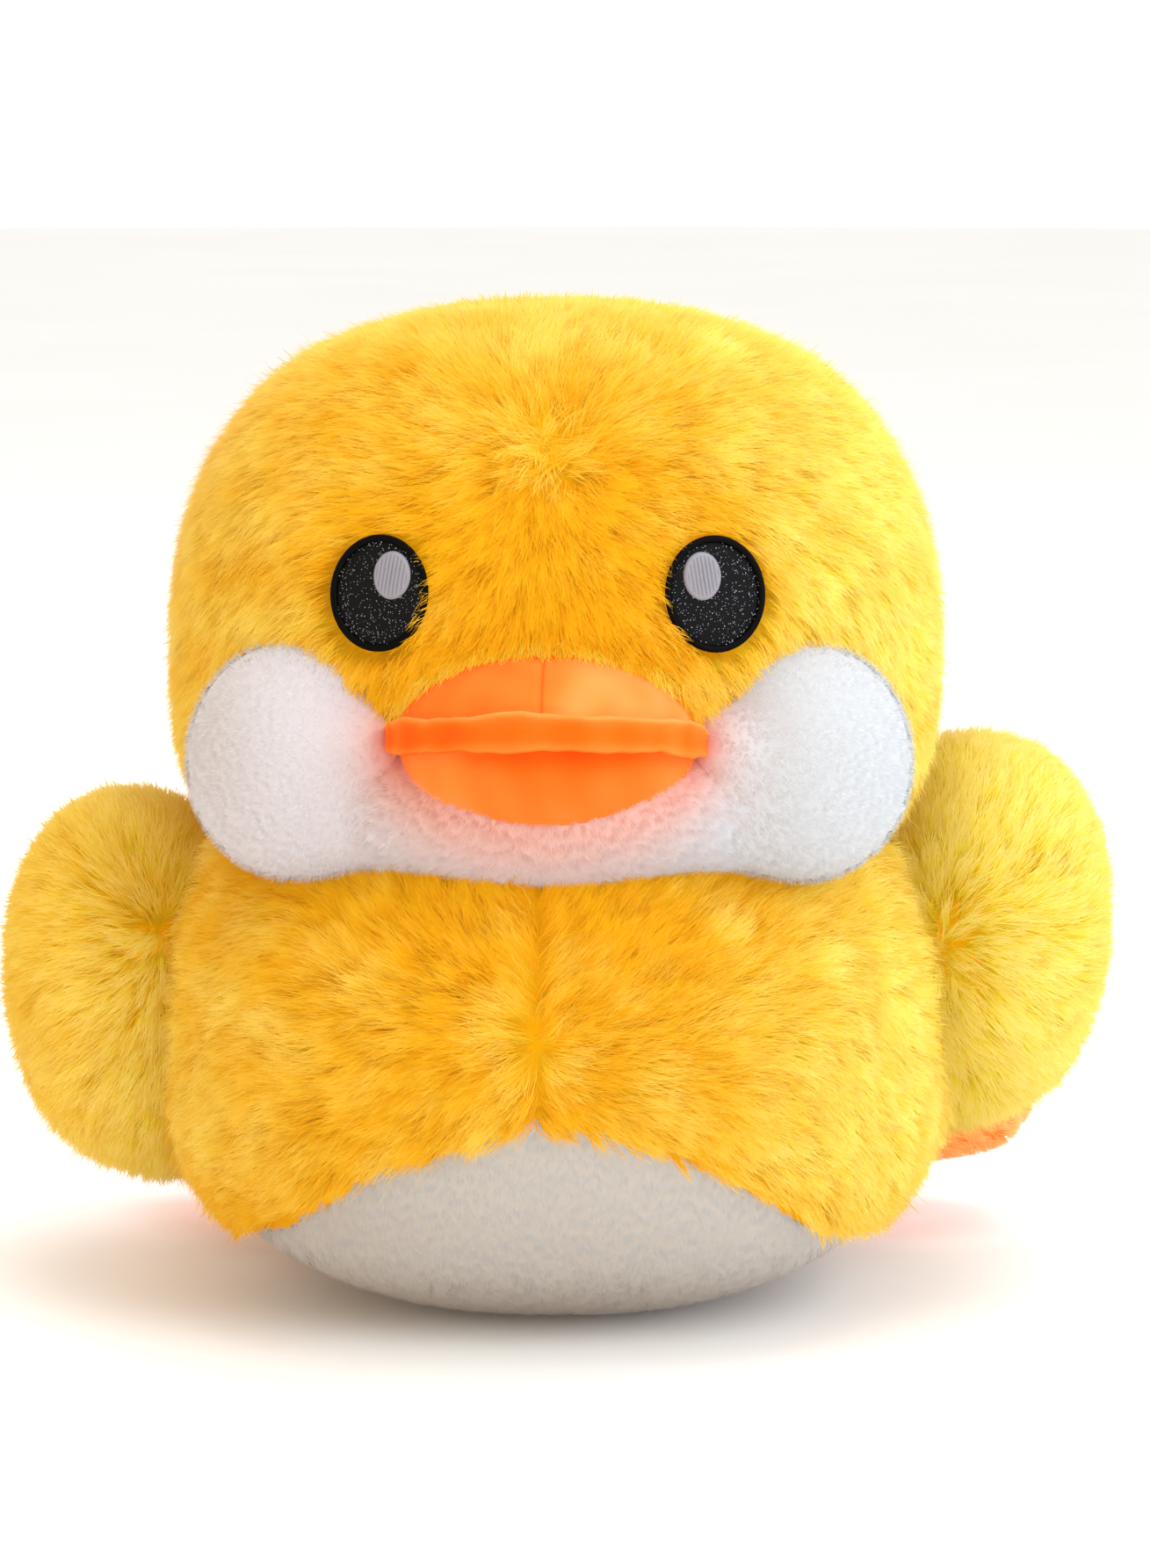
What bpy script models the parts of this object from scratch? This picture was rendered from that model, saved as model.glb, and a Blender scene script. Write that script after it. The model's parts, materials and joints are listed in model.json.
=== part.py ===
"""A plush duck that lies on its belly.

Metres, +Z up, the face towards -Y. The origin is the middle of the flat on which the belly rests.
Every stuffed form is a round shape whose half sizes and squareness are named below. The fabric is
a set of panels around the stuffing, thick enough to hold the backing and the pile, and each smaller
form is cut by the larger ones that it is sewn to.
"""

import math
from dataclasses import dataclass

import bmesh
import bpy
from mathutils import Euler, Vector

# Seams, fabric and cuts
SEAM_GAP = 0.0004
WELD_SHARE = 0.01
LONG_PILE = 0.010
SHORT_PILE = 0.004
BILL_FABRIC = 0.0018
CUT_OVERRUN = 0.6
REST_CUT = 0.0005

# Body
BODY_CENTRE_HEIGHT = 0.080
BODY_HALF_WIDTH = 0.135
BODY_CHEST_REACH = 0.122
BODY_RUMP_REACH = 0.150
BODY_SHOULDER_RISE = 0.100
BODY_PLAN_POWER = 2.4
BODY_SHOULDER_POWER = 3.5
BODY_BELLY_POWER = 2.3
BELLY_SAG = 0.004
BELLY_STEP = 0.006
NECK_BELOW_SHOULDERS = 0.023
SIDE_SEAM_FORWARD = 0.040

# Border between the belly and the yellow fabric
BORDER_SIDE_HEIGHT = 0.032
BORDER_PEAK_HEIGHT = 0.084
BORDER_HALF_SPREAD = 0.108
BORDER_START_FORWARD = 0.045
BORDER_PEAK_FORWARD = 0.110
BORDER_ARCH_POWER = 1.5
BORDER_TILES = 15

# Tail
TAIL_ABOVE_BODY_CENTRE = 0.032
TAIL_HALF_WIDTH = 0.034
TAIL_HALF_THICKNESS = 0.026
TAIL_HALF_LENGTH = 0.048
TAIL_ROOT_DEPTH = 0.006
TAIL_TILT = math.radians(32)
TAIL_TIP_SHARE = 0.42

# Head
HEAD_CENTRE_ABOVE_NECK = 0.065
HEAD_HALF_WIDTH = 0.131
HEAD_FACE_REACH = 0.112
HEAD_NAPE_REACH = 0.116
HEAD_CROWN_RISE = 0.1220
HEAD_JAW_DROP = 0.088
HEAD_PLAN_POWER = 2.2
HEAD_CROWN_POWER = 2.4
HEAD_JAW_POWER = 3.0
EAR_SEAM_BEHIND_CENTRE = 0.015

# Cheeks and chin
CHEEK_CENTRE_OUT = 0.0825
CHEEK_SUNK = 0.0077
CHEEK_HALF_WIDTH = 0.0355
CHEEK_HALF_DEPTH = 0.0360
CHEEK_HALF_HEIGHT = 0.0395
JAW_CLEARANCE = 0.0006
CHIN_SUNK = 0.0215
CHIN_HALF_WIDTH = 0.076
CHIN_HALF_DEPTH = 0.037
CHIN_HALF_HEIGHT = 0.0290

# Bill
BILL_BELOW_HEAD_CENTRE = 0.0160
BILL_SUNK = 0.0118
BILL_TILT = math.radians(10)
BILL_UPPER_HALF_WIDTH = 0.0490
BILL_UPPER_REACH = 0.051
BILL_UPPER_RISE = 0.0285
BILL_LOWER_HALF_WIDTH = 0.0460
BILL_LOWER_REACH = 0.043
BILL_LOWER_DROP = 0.0305
BILL_BACK = 0.030
LIP_HALF_WIDTH = 0.0472
LIP_REACH = 0.0520
LIP_RADIUS = 0.0054
LIP_NUB_SHARE = 1.12
LIP_NUB_POWER = 8
LIP_SWEEP = math.radians(92)
LIP_POINTS = 25

# Eyes
EYE_OUT = 0.054
EYE_ABOVE_HEAD_CENTRE = 0.032
EYE_HALF_WIDTH = 0.0162
EYE_HALF_HEIGHT = 0.0185
EYE_HALF_THICKNESS = 0.0026
EYE_SUNK = 0.0012
EYE_EDGE_POWER = 3.2
EYE_POCKET_EDGE_POWER = 6.4
EYE_RIM_RADIUS = 0.0012
HIGHLIGHT_IN = 0.0042
HIGHLIGHT_UP = 0.0058
HIGHLIGHT_HALF_WIDTH = 0.0060
HIGHLIGHT_HALF_HEIGHT = 0.0074
HIGHLIGHT_HALF_THICKNESS = 0.0007

# Wings
WING_STAND_OUT = 0.012
WING_BEHIND_CENTRE = 0.010
WING_HALF_THICKNESS = 0.043
WING_SHOULDER_REACH = 0.058
WING_TIP_REACH = 0.092
WING_HALF_HEIGHT = 0.0655
WING_LEFT_ABOVE_BODY_CENTRE = 0.026
WING_RIGHT_ABOVE_BODY_CENTRE = 0.0455
WING_TIP_LIFT = 0.014
WING_TIP_SHARE = 0.72
WING_POWER = 2.15
WING_ROLL = math.radians(4)
WING_LINING = 0.004
WING_HINGE_FORWARD = 0.0465
HEAD_TURN_CLEARANCE = 0.003

# Feet
FOOT_ROOT_BEHIND_CENTRE = 0.088
FOOT_ROOT_HEIGHT = 0.031
FOOT_YAW = math.radians(25)
FOOT_TILT = math.radians(9)
FOOT_REACH = 0.073
FOOT_HALF_LENGTH = 0.041
FOOT_HALF_WIDTH = 0.030
FOOT_HALF_THICKNESS = 0.0115
FOOT_EDGE_POWER = 2.4
FOOT_FABRIC = 0.0018
FOOT_HEEL_SHARE = 0.55
FOOT_TOE_DEPTH_SHARE = 0.09
FOOT_TOES = 3
FOOT_HINGE_RISE = 0.0085

# Roundness of the meshes, in faces round and from pole to pole
MAIN_GRID = (28, 14)
CORE_GRID = (16, 9)
LIMB_GRID = (20, 12)
LIMB_CORE_GRID = (12, 7)
SMALL_GRID = (16, 9)
SMALL_CORE_GRID = (10, 6)
TRIM_GRID = (18, 6)
RIM_POINTS = 20
TUBE_BEVEL_RESOLUTION = 1

# Colours, as red, green and blue from 0 to 1
YELLOW_FUR = (0.95, 0.62, 0.05)
WHITE_FUR = (0.86, 0.84, 0.81)
ORANGE_VELVET = (0.95, 0.30, 0.03)
GLITTER_BLACK = (0.02, 0.02, 0.025)
THREAD_BLACK = (0.01, 0.01, 0.01)
THREAD_LILAC = (0.72, 0.70, 0.76)
FIBRE_WHITE = (0.88, 0.88, 0.86)


@dataclass
class Form:
    """A stuffed shape: half sizes on the low and high side of its centre, and how square it is."""

    low: tuple
    high: tuple
    plan_power: float = 2.0
    low_power: float = 2.0
    high_power: float = 2.0
    sag: float = 0.0
    bend: object = None

    def half(self, axis, sign, inset=0.0):
        return (self.high if sign > 0 else self.low)[axis] - inset

    def point(self, direction, inset):
        """The point of the surface that lies this way from the centre, this far inside the form."""
        power = self.high_power if direction.z > 0 else self.low_power
        plan = abs(direction.x) ** self.plan_power + abs(direction.y) ** self.plan_power
        value = plan ** (power / self.plan_power) + abs(direction.z) ** power
        stretch = value ** (-1 / power)
        halves = [self.half(axis, direction[axis], inset) for axis in range(3)]
        point = Vector(stretch * direction[axis] * halves[axis] for axis in range(3))
        if self.sag:
            height = point.z + self.half(2, -1, inset)
            point.z -= height * math.exp(-height / self.sag)
        if self.bend:
            point = self.bend(self, point)
        return point

    def plan_reach(self, axis, sign, other, height):
        """How far the surface lies along X or Y at a height and at a place on the other axis."""
        power = self.high_power if height > 0 else self.low_power
        rise = abs(height) / self.half(2, height)
        across = abs(other) / self.half(1 - axis, other)
        plan = (1 - rise**power) ** (self.plan_power / power) - across**self.plan_power
        return sign * self.half(axis, sign) * plan ** (1 / self.plan_power)

    def normal(self, point):
        """The outward direction of the surface at one of its points."""
        power = self.high_power if point.z > 0 else self.low_power
        share = [abs(point[axis]) / self.half(axis, point[axis]) for axis in range(3)]
        plan = share[0] ** self.plan_power + share[1] ** self.plan_power
        flat = plan ** (power / self.plan_power - 1)
        slope = [flat * share[axis] ** (self.plan_power - 1) for axis in (0, 1)]
        slope.append(share[2] ** (power - 1))
        way = [math.copysign(slope[axis], point[axis]) for axis in range(3)]
        return Vector(way[axis] / self.half(axis, point[axis]) for axis in range(3)).normalized()


def even_form(width, depth, height, edge_power=2.0, bend=None):
    """A form with the same half sizes on both sides of its centre."""
    halves = (width, depth, height)
    return Form(halves, halves, low_power=edge_power, high_power=edge_power, bend=bend)


def wing_bend(form, point):
    """Narrows the wing towards its tip, and lifts the tip."""
    along = max(point.y, 0) / form.high[1]
    narrow = 1 - (1 - WING_TIP_SHARE) * along**2
    return Vector((point.x * narrow, point.y, point.z * narrow + WING_TIP_LIFT * along**2))


def foot_bend(form, point):
    """Spreads the foot from its narrow heel to its toes, and scallops the toes."""
    along = (point.x + form.low[0]) / (form.low[0] + form.high[0])
    spread = FOOT_HEEL_SHARE + (1 - FOOT_HEEL_SHARE) * math.sin(along * math.pi / 2)
    turn = math.atan2(point.y / form.high[1], point.x / form.high[0])
    toes = 1 + FOOT_TOE_DEPTH_SHARE * math.cos(2 * FOOT_TOES * turn) * max(math.cos(turn), 0)
    return Vector((point.x * toes, point.y * spread * toes, point.z * spread))


def tail_bend(form, point):
    """Narrows the tail towards its tip."""
    along = max(point.y, 0) / form.high[1]
    narrow = 1 - (1 - TAIL_TIP_SHARE) * along
    return Vector((point.x * narrow, point.y, point.z * narrow))


BODY = Form(
    low=(BODY_HALF_WIDTH, BODY_CHEST_REACH, BODY_CENTRE_HEIGHT + REST_CUT + BELLY_STEP),
    high=(BODY_HALF_WIDTH, BODY_RUMP_REACH, BODY_SHOULDER_RISE),
    plan_power=BODY_PLAN_POWER,
    low_power=BODY_BELLY_POWER,
    high_power=BODY_SHOULDER_POWER,
    sag=BELLY_SAG,
)
HEAD = Form(
    low=(HEAD_HALF_WIDTH, HEAD_FACE_REACH, HEAD_JAW_DROP),
    high=(HEAD_HALF_WIDTH, HEAD_NAPE_REACH, HEAD_CROWN_RISE),
    plan_power=HEAD_PLAN_POWER,
    low_power=HEAD_JAW_POWER,
    high_power=HEAD_CROWN_POWER,
)
CHEEK = even_form(CHEEK_HALF_WIDTH, CHEEK_HALF_DEPTH, CHEEK_HALF_HEIGHT)
CHIN = even_form(CHIN_HALF_WIDTH, CHIN_HALF_DEPTH, CHIN_HALF_HEIGHT)
BILL_UPPER = Form(
    low=(BILL_UPPER_HALF_WIDTH, BILL_UPPER_REACH, BILL_LOWER_DROP),
    high=(BILL_UPPER_HALF_WIDTH, BILL_BACK, BILL_UPPER_RISE),
)
BILL_LOWER = Form(
    low=(BILL_LOWER_HALF_WIDTH, BILL_LOWER_REACH, BILL_LOWER_DROP),
    high=(BILL_LOWER_HALF_WIDTH, BILL_BACK, BILL_UPPER_RISE),
)
WING = Form(
    low=(WING_HALF_THICKNESS, WING_SHOULDER_REACH, WING_HALF_HEIGHT),
    high=(WING_HALF_THICKNESS, WING_TIP_REACH, WING_HALF_HEIGHT),
    plan_power=WING_POWER,
    low_power=WING_POWER,
    high_power=WING_POWER,
    bend=wing_bend,
)
FOOT = even_form(
    FOOT_HALF_LENGTH, FOOT_HALF_WIDTH, FOOT_HALF_THICKNESS, FOOT_EDGE_POWER, foot_bend
)
TAIL = even_form(TAIL_HALF_WIDTH, TAIL_HALF_LENGTH, TAIL_HALF_THICKNESS, bend=tail_bend)
EYE_RIM_SPACE = 2 * EYE_RIM_RADIUS + SEAM_GAP
EYE_DISC = even_form(
    EYE_HALF_WIDTH - EYE_RIM_SPACE,
    EYE_HALF_HEIGHT - EYE_RIM_SPACE,
    EYE_HALF_THICKNESS,
    EYE_EDGE_POWER,
)
EYE_POCKET = Form(
    low=(EYE_HALF_WIDTH + SEAM_GAP, EYE_HALF_HEIGHT + SEAM_GAP, EYE_HALF_THICKNESS + SEAM_GAP),
    high=(EYE_HALF_WIDTH + SEAM_GAP, EYE_HALF_HEIGHT + SEAM_GAP, LONG_PILE),
    low_power=EYE_POCKET_EDGE_POWER,
    high_power=EYE_POCKET_EDGE_POWER,
)
HIGHLIGHT = even_form(
    HIGHLIGHT_HALF_WIDTH, HIGHLIGHT_HALF_HEIGHT, HIGHLIGHT_HALF_THICKNESS, EYE_EDGE_POWER
)

NECK_HEIGHT = BODY_CENTRE_HEIGHT + BODY_SHOULDER_RISE - NECK_BELOW_SHOULDERS
HEAD_CENTRE_HEIGHT = NECK_HEIGHT + HEAD_CENTRE_ABOVE_NECK
BODY_CENTRE = Vector((0, 0, BODY_CENTRE_HEIGHT))
HEAD_CENTRE = Vector((0, 0, HEAD_CENTRE_HEIGHT))
JAW_HEIGHT = NECK_HEIGHT + JAW_CLEARANCE


def clear_scene():
    for old in list(bpy.data.objects):
        bpy.data.objects.remove(old, do_unlink=True)


def new_collection(name):
    made = bpy.data.collections.new(name)
    bpy.context.scene.collection.children.link(made)
    return made


def fabric(name, colour, roughness=0.9, metallic=0.0):
    """A material with the colour and finish of one fabric or thread."""
    made = bpy.data.materials.new(name)
    made.use_nodes = True
    made.diffuse_color = (*colour, 1)
    shader = made.node_tree.nodes["Principled BSDF"]
    shader.inputs["Base Color"].default_value = (*colour, 1)
    shader.inputs["Roughness"].default_value = roughness
    shader.inputs["Metallic"].default_value = metallic
    return made


def pivot(name, place, parent=None, turn=(0, 0, 0)):
    """An empty that carries pieces. Its origin is on the axis that they turn about."""
    made = bpy.data.objects.new(name, None)
    duck.objects.link(made)
    made.parent = parent
    made.location = Vector(place) - (parent.matrix_world.translation if parent else Vector())
    made.rotation_euler = turn
    bpy.context.view_layer.update()
    return made


def add_object(name, mesh, place, carrier, turn=(0, 0, 0), group=None):
    """An object at a place in the world, carried by an empty whose own turn it takes on."""
    made = bpy.data.objects.new(name, mesh)
    (group or cutters).objects.link(made)
    made.location = Vector(place)
    made.rotation_euler = turn
    if carrier:
        made.parent = carrier
        made.location = carrier.matrix_world.inverted() @ Vector(place)
    if group is None:
        made.hide_render = True
        made.display_type = "WIRE"
    return made


def form_mesh(name, form, inset, grid):
    """The form's surface, shrunk by the inset, as triangles."""
    shape = bmesh.new()
    bmesh.ops.create_uvsphere(shape, u_segments=grid[0], v_segments=grid[1], radius=1)
    for vertex in shape.verts:
        vertex.co = form.point(vertex.co.normalized(), inset)
    bmesh.ops.triangulate(shape, faces=shape.faces)
    return mesh_of(name, shape)


def mesh_of(name, shape):
    mesh = bpy.data.meshes.new(name)
    shape.to_mesh(mesh)
    shape.free()
    mesh.shade_smooth()
    return mesh


def block_mesh(name, low, high):
    """A box between two corners."""
    shape = bmesh.new()
    bmesh.ops.create_cube(shape, size=1)
    for vertex in shape.verts:
        for axis in range(3):
            vertex.co[axis] = high[axis] if vertex.co[axis] > 0 else low[axis]
    bmesh.ops.triangulate(shape, faces=shape.faces)
    return mesh_of(name, shape)


def region(name, low, high, place=(0, 0, 0), carrier=None):
    """A box to cut with. A corner given as None runs on past the part."""
    low = [-CUT_OVERRUN if value is None else value for value in low]
    high = [CUT_OVERRUN if value is None else value for value in high]
    return add_object(name, block_mesh(name, low, high), place, carrier)


def shape_object(name, form, inset, grid, place, carrier=None, turn=(0, 0, 0), group=None):
    return add_object(name, form_mesh(name, form, inset, grid), place, carrier, turn, group)


def cut(piece, *others, keep=False):
    """Takes the others off the piece, or keeps only what lies inside them."""
    for other in others:
        made = piece.modifiers.new(other.name, "BOOLEAN")
        made.operation = "INTERSECT" if keep else "DIFFERENCE"
        made.solver = "EXACT"
        made.object = other


def finish(piece, material):
    piece.data.materials.append(material)


def tube_mesh(name, points, radii, ring=False):
    """A round tube along points, with a radius at each, as one welded mesh."""
    curve = bpy.data.curves.new(name, "CURVE")
    curve.dimensions = "3D"
    curve.bevel_depth = 1
    curve.bevel_resolution = TUBE_BEVEL_RESOLUTION
    curve.use_fill_caps = not ring
    spline = curve.splines.new("POLY")
    spline.use_cyclic_u = ring
    spline.points.add(len(points) - 1)
    for spot, point, radius in zip(spline.points, points, radii):
        spot.co = (*point, 1)
        spot.radius = radius
    guide = bpy.data.objects.new(name, curve)
    cutters.objects.link(guide)
    bpy.context.view_layer.update()
    graph = bpy.context.evaluated_depsgraph_get()
    shape = bmesh.new()
    shape.from_mesh(bpy.data.meshes.new_from_object(guide.evaluated_get(graph)))
    bpy.data.objects.remove(guide, do_unlink=True)
    bmesh.ops.remove_doubles(shape, verts=shape.verts, dist=SEAM_GAP * WELD_SHARE)
    bmesh.ops.triangulate(shape, faces=shape.faces)
    bmesh.ops.recalc_face_normals(shape, faces=shape.faces)
    return mesh_of(name, shape)


def border_height(x, y):
    """The height of the belly's edge: low round the sides, rising to a soft point in front."""
    forward = (-y - BORDER_START_FORWARD) / (BORDER_PEAK_FORWARD - BORDER_START_FORWARD)
    forward = min(max(forward, 0), 1)
    eased = forward * forward * (3 - 2 * forward)
    across = min(abs(x) / BORDER_HALF_SPREAD, 1)
    arch = (1 - across**BORDER_ARCH_POWER) * eased
    return BORDER_SIDE_HEIGHT + (BORDER_PEAK_HEIGHT - BORDER_SIDE_HEIGHT) * arch


def belly_region(name, raised):
    """All that lies under the belly's edge, raised by a gap."""
    reach = max(BODY_HALF_WIDTH, BODY_CHEST_REACH, BODY_RUMP_REACH) + LONG_PILE
    shape = bmesh.new()
    bmesh.ops.create_grid(shape, x_segments=BORDER_TILES, y_segments=BORDER_TILES, size=reach)
    under = bmesh.ops.extrude_face_region(shape, geom=shape.faces[:])["geom"]
    low = {item for item in under if isinstance(item, bmesh.types.BMVert)}
    for vertex in shape.verts:
        if vertex in low:
            vertex.co.z = -CUT_OVERRUN
        else:
            vertex.co.z = border_height(vertex.co.x, vertex.co.y) + raised
    bmesh.ops.triangulate(shape, faces=shape.faces)
    bmesh.ops.recalc_face_normals(shape, faces=shape.faces)
    return add_object(name, mesh_of(name, shape), (0, 0, 0), None)


def make_body():
    """Stuffing, two chest panels, two back panels, the belly, and the tail."""
    half_gap = SEAM_GAP / 2
    neck = NECK_HEIGHT - half_gap
    core_space = shape_object("body_core_space", BODY, LONG_PILE, CORE_GRID, BODY_CENTRE)
    below_edge = belly_region("below_belly_edge", 0)
    below_edge_raised = belly_region("below_belly_edge_raised", SEAM_GAP)

    core = shape_object(
        "body_stuffing", BODY, LONG_PILE + SEAM_GAP, CORE_GRID, BODY_CENTRE, group=duck
    )
    cut(core, region("body_below_neck", (None, None, None), (None, None, neck)), keep=True)
    finish(core, fibre)

    seam = -SIDE_SEAM_FORWARD
    for side, sign in (("left", -1), ("right", 1)):
        inner, outer = sorted((sign * half_gap, sign * CUT_OVERRUN))
        for row, front, back in (
            ("chest", -CUT_OVERRUN, seam - half_gap),
            ("back", seam + half_gap, CUT_OVERRUN),
        ):
            name = f"{row}_{side}_panel"
            panel = shape_object(name, BODY, 0, MAIN_GRID, BODY_CENTRE, group=duck)
            cut(panel, core_space, below_edge_raised)
            space = region(f"{name}_space", (inner, front, -CUT_OVERRUN), (outer, back, neck))
            cut(panel, space, keep=True)
            finish(panel, yellow)

    belly = shape_object("belly_panel", BODY, BELLY_STEP, MAIN_GRID, BODY_CENTRE, group=duck)
    cut(belly, core_space)
    cut(belly, below_edge, region("above_floor", (None, None, 0), (None, None, None)), keep=True)
    finish(belly, white)

    root = BODY.plan_reach(1, 1, 0, TAIL_ABOVE_BODY_CENTRE) - TAIL_ROOT_DEPTH
    place = BODY_CENTRE + Vector((0, root, TAIL_ABOVE_BODY_CENTRE))
    lean = (TAIL_TILT, 0, 0)
    tail_core_space = shape_object(
        "tail_core_space", TAIL, LONG_PILE, SMALL_CORE_GRID, place, turn=lean
    )
    skin = shape_object("tail_skin", TAIL, 0, SMALL_GRID, place, turn=lean, group=duck)
    cut(skin, tail_core_space, body_near)
    finish(skin, yellow)
    filling = shape_object(
        "tail_stuffing", TAIL, LONG_PILE + SEAM_GAP, SMALL_CORE_GRID, place, turn=lean, group=duck
    )
    cut(filling, body_near)
    finish(filling, fibre)


def make_head(carrier):
    """Stuffing, a panel on each side of the face, and the back panel."""
    half_gap = SEAM_GAP / 2
    neck = NECK_HEIGHT + half_gap
    seam = EAR_SEAM_BEHIND_CENTRE
    core_space = shape_object("head_core_space", HEAD, LONG_PILE, CORE_GRID, HEAD_CENTRE)
    core = shape_object(
        "head_stuffing", HEAD, LONG_PILE + SEAM_GAP, CORE_GRID, HEAD_CENTRE, carrier, group=duck
    )
    cut(core, region("head_above_neck", (None, None, neck), (None, None, None)), keep=True)
    finish(core, fibre)

    panels = (
        ("head_left_panel", (None, None, neck), (-half_gap, seam - half_gap, None)),
        ("head_right_panel", (half_gap, None, neck), (None, seam - half_gap, None)),
        ("head_back_panel", (None, seam + half_gap, neck), (None, None, None)),
    )
    for name, low, high in panels:
        panel = shape_object(name, HEAD, 0, MAIN_GRID, HEAD_CENTRE, carrier, group=duck)
        cut(panel, core_space)
        cut(panel, region(f"{name}_space", low, high), keep=True)
        finish(panel, yellow)


def make_eye(side, sign, carrier):
    """A glitter disc in a pocket of the face, with a stitched rim round it and a highlight on it."""
    height = EYE_ABOVE_HEAD_CENTRE
    spot = Vector((sign * EYE_OUT, HEAD.plan_reach(1, -1, EYE_OUT, height), height))
    out = HEAD.normal(spot)
    turn = out.to_track_quat("Z", "Y").to_euler()
    centre = HEAD_CENTRE + spot - out * (EYE_SUNK + EYE_HALF_THICKNESS)

    pocket = shape_object(f"eye_{side}_pocket", EYE_POCKET, 0, TRIM_GRID, centre, turn=turn)
    cut(bpy.data.objects[f"head_{side}_panel"], pocket)
    disc = shape_object(
        f"eye_{side}_disc", EYE_DISC, 0, TRIM_GRID, centre, carrier, turn, group=duck
    )
    finish(disc, glitter)

    points = []
    for step in range(RIM_POINTS):
        angle = 2 * math.pi * step / RIM_POINTS
        x = (EYE_HALF_WIDTH - EYE_RIM_RADIUS) * math.cos(angle)
        y = (EYE_HALF_HEIGHT - EYE_RIM_RADIUS) * math.sin(angle)
        points.append((x, y, 0))
    rim_mesh = tube_mesh(f"eye_{side}_rim", points, [EYE_RIM_RADIUS] * RIM_POINTS, ring=True)
    rim = add_object(f"eye_{side}_rim", rim_mesh, centre, carrier, turn, duck)
    finish(rim, black_thread)

    frame = Euler(turn).to_matrix()
    lift = EYE_HALF_THICKNESS + SEAM_GAP + HIGHLIGHT_HALF_THICKNESS
    offset = frame @ Vector((-sign * HIGHLIGHT_IN, HIGHLIGHT_UP, lift))
    highlight = shape_object(
        f"eye_{side}_highlight", HIGHLIGHT, 0, TRIM_GRID, centre + offset, carrier, turn, duck
    )
    finish(highlight, lilac_thread)


def make_cheek(side, sign, carrier):
    """A white puff sewn to the side of the face: its skin and its stuffing."""
    place = cheek_place(sign)
    core_space = shape_object(f"cheek_{side}_core_space", CHEEK, SHORT_PILE, SMALL_CORE_GRID, place)
    skin = shape_object(f"cheek_{side}_skin", CHEEK, 0, LIMB_GRID, place, carrier, group=duck)
    cut(skin, core_space, head_near)
    finish(skin, white)
    filling = shape_object(
        f"cheek_{side}_stuffing",
        CHEEK,
        SHORT_PILE + SEAM_GAP,
        SMALL_CORE_GRID,
        place,
        carrier,
        group=duck,
    )
    cut(filling, head_near)
    finish(filling, fibre)


def face_place(out, height, sunk):
    """A point as far inside the front of the head as given, at a height above the floor."""
    forward = HEAD.plan_reach(1, -1, out, height - HEAD_CENTRE_HEIGHT) + sunk
    return Vector((out, forward, height))


def cheek_place(sign):
    return face_place(sign * CHEEK_CENTRE_OUT, JAW_HEIGHT + CHEEK_HALF_HEIGHT, CHEEK_SUNK)


def lip_points():
    """The lip runs round the front of the bill, from one corner of the mouth to the other."""
    points = []
    for step in range(LIP_POINTS):
        angle = LIP_SWEEP * (2 * step / (LIP_POINTS - 1) - 1)
        points.append((LIP_HALF_WIDTH * math.sin(angle), -LIP_REACH * math.cos(angle), 0))
    return points


def lip_radii(grown):
    """The lip is a little thicker at the corners of the mouth."""
    radii = []
    for step in range(LIP_POINTS):
        aside = abs(2 * step / (LIP_POINTS - 1) - 1)
        radii.append(LIP_RADIUS * (1 + (LIP_NUB_SHARE - 1) * aside**LIP_NUB_POWER) + grown)
    return radii


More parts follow.
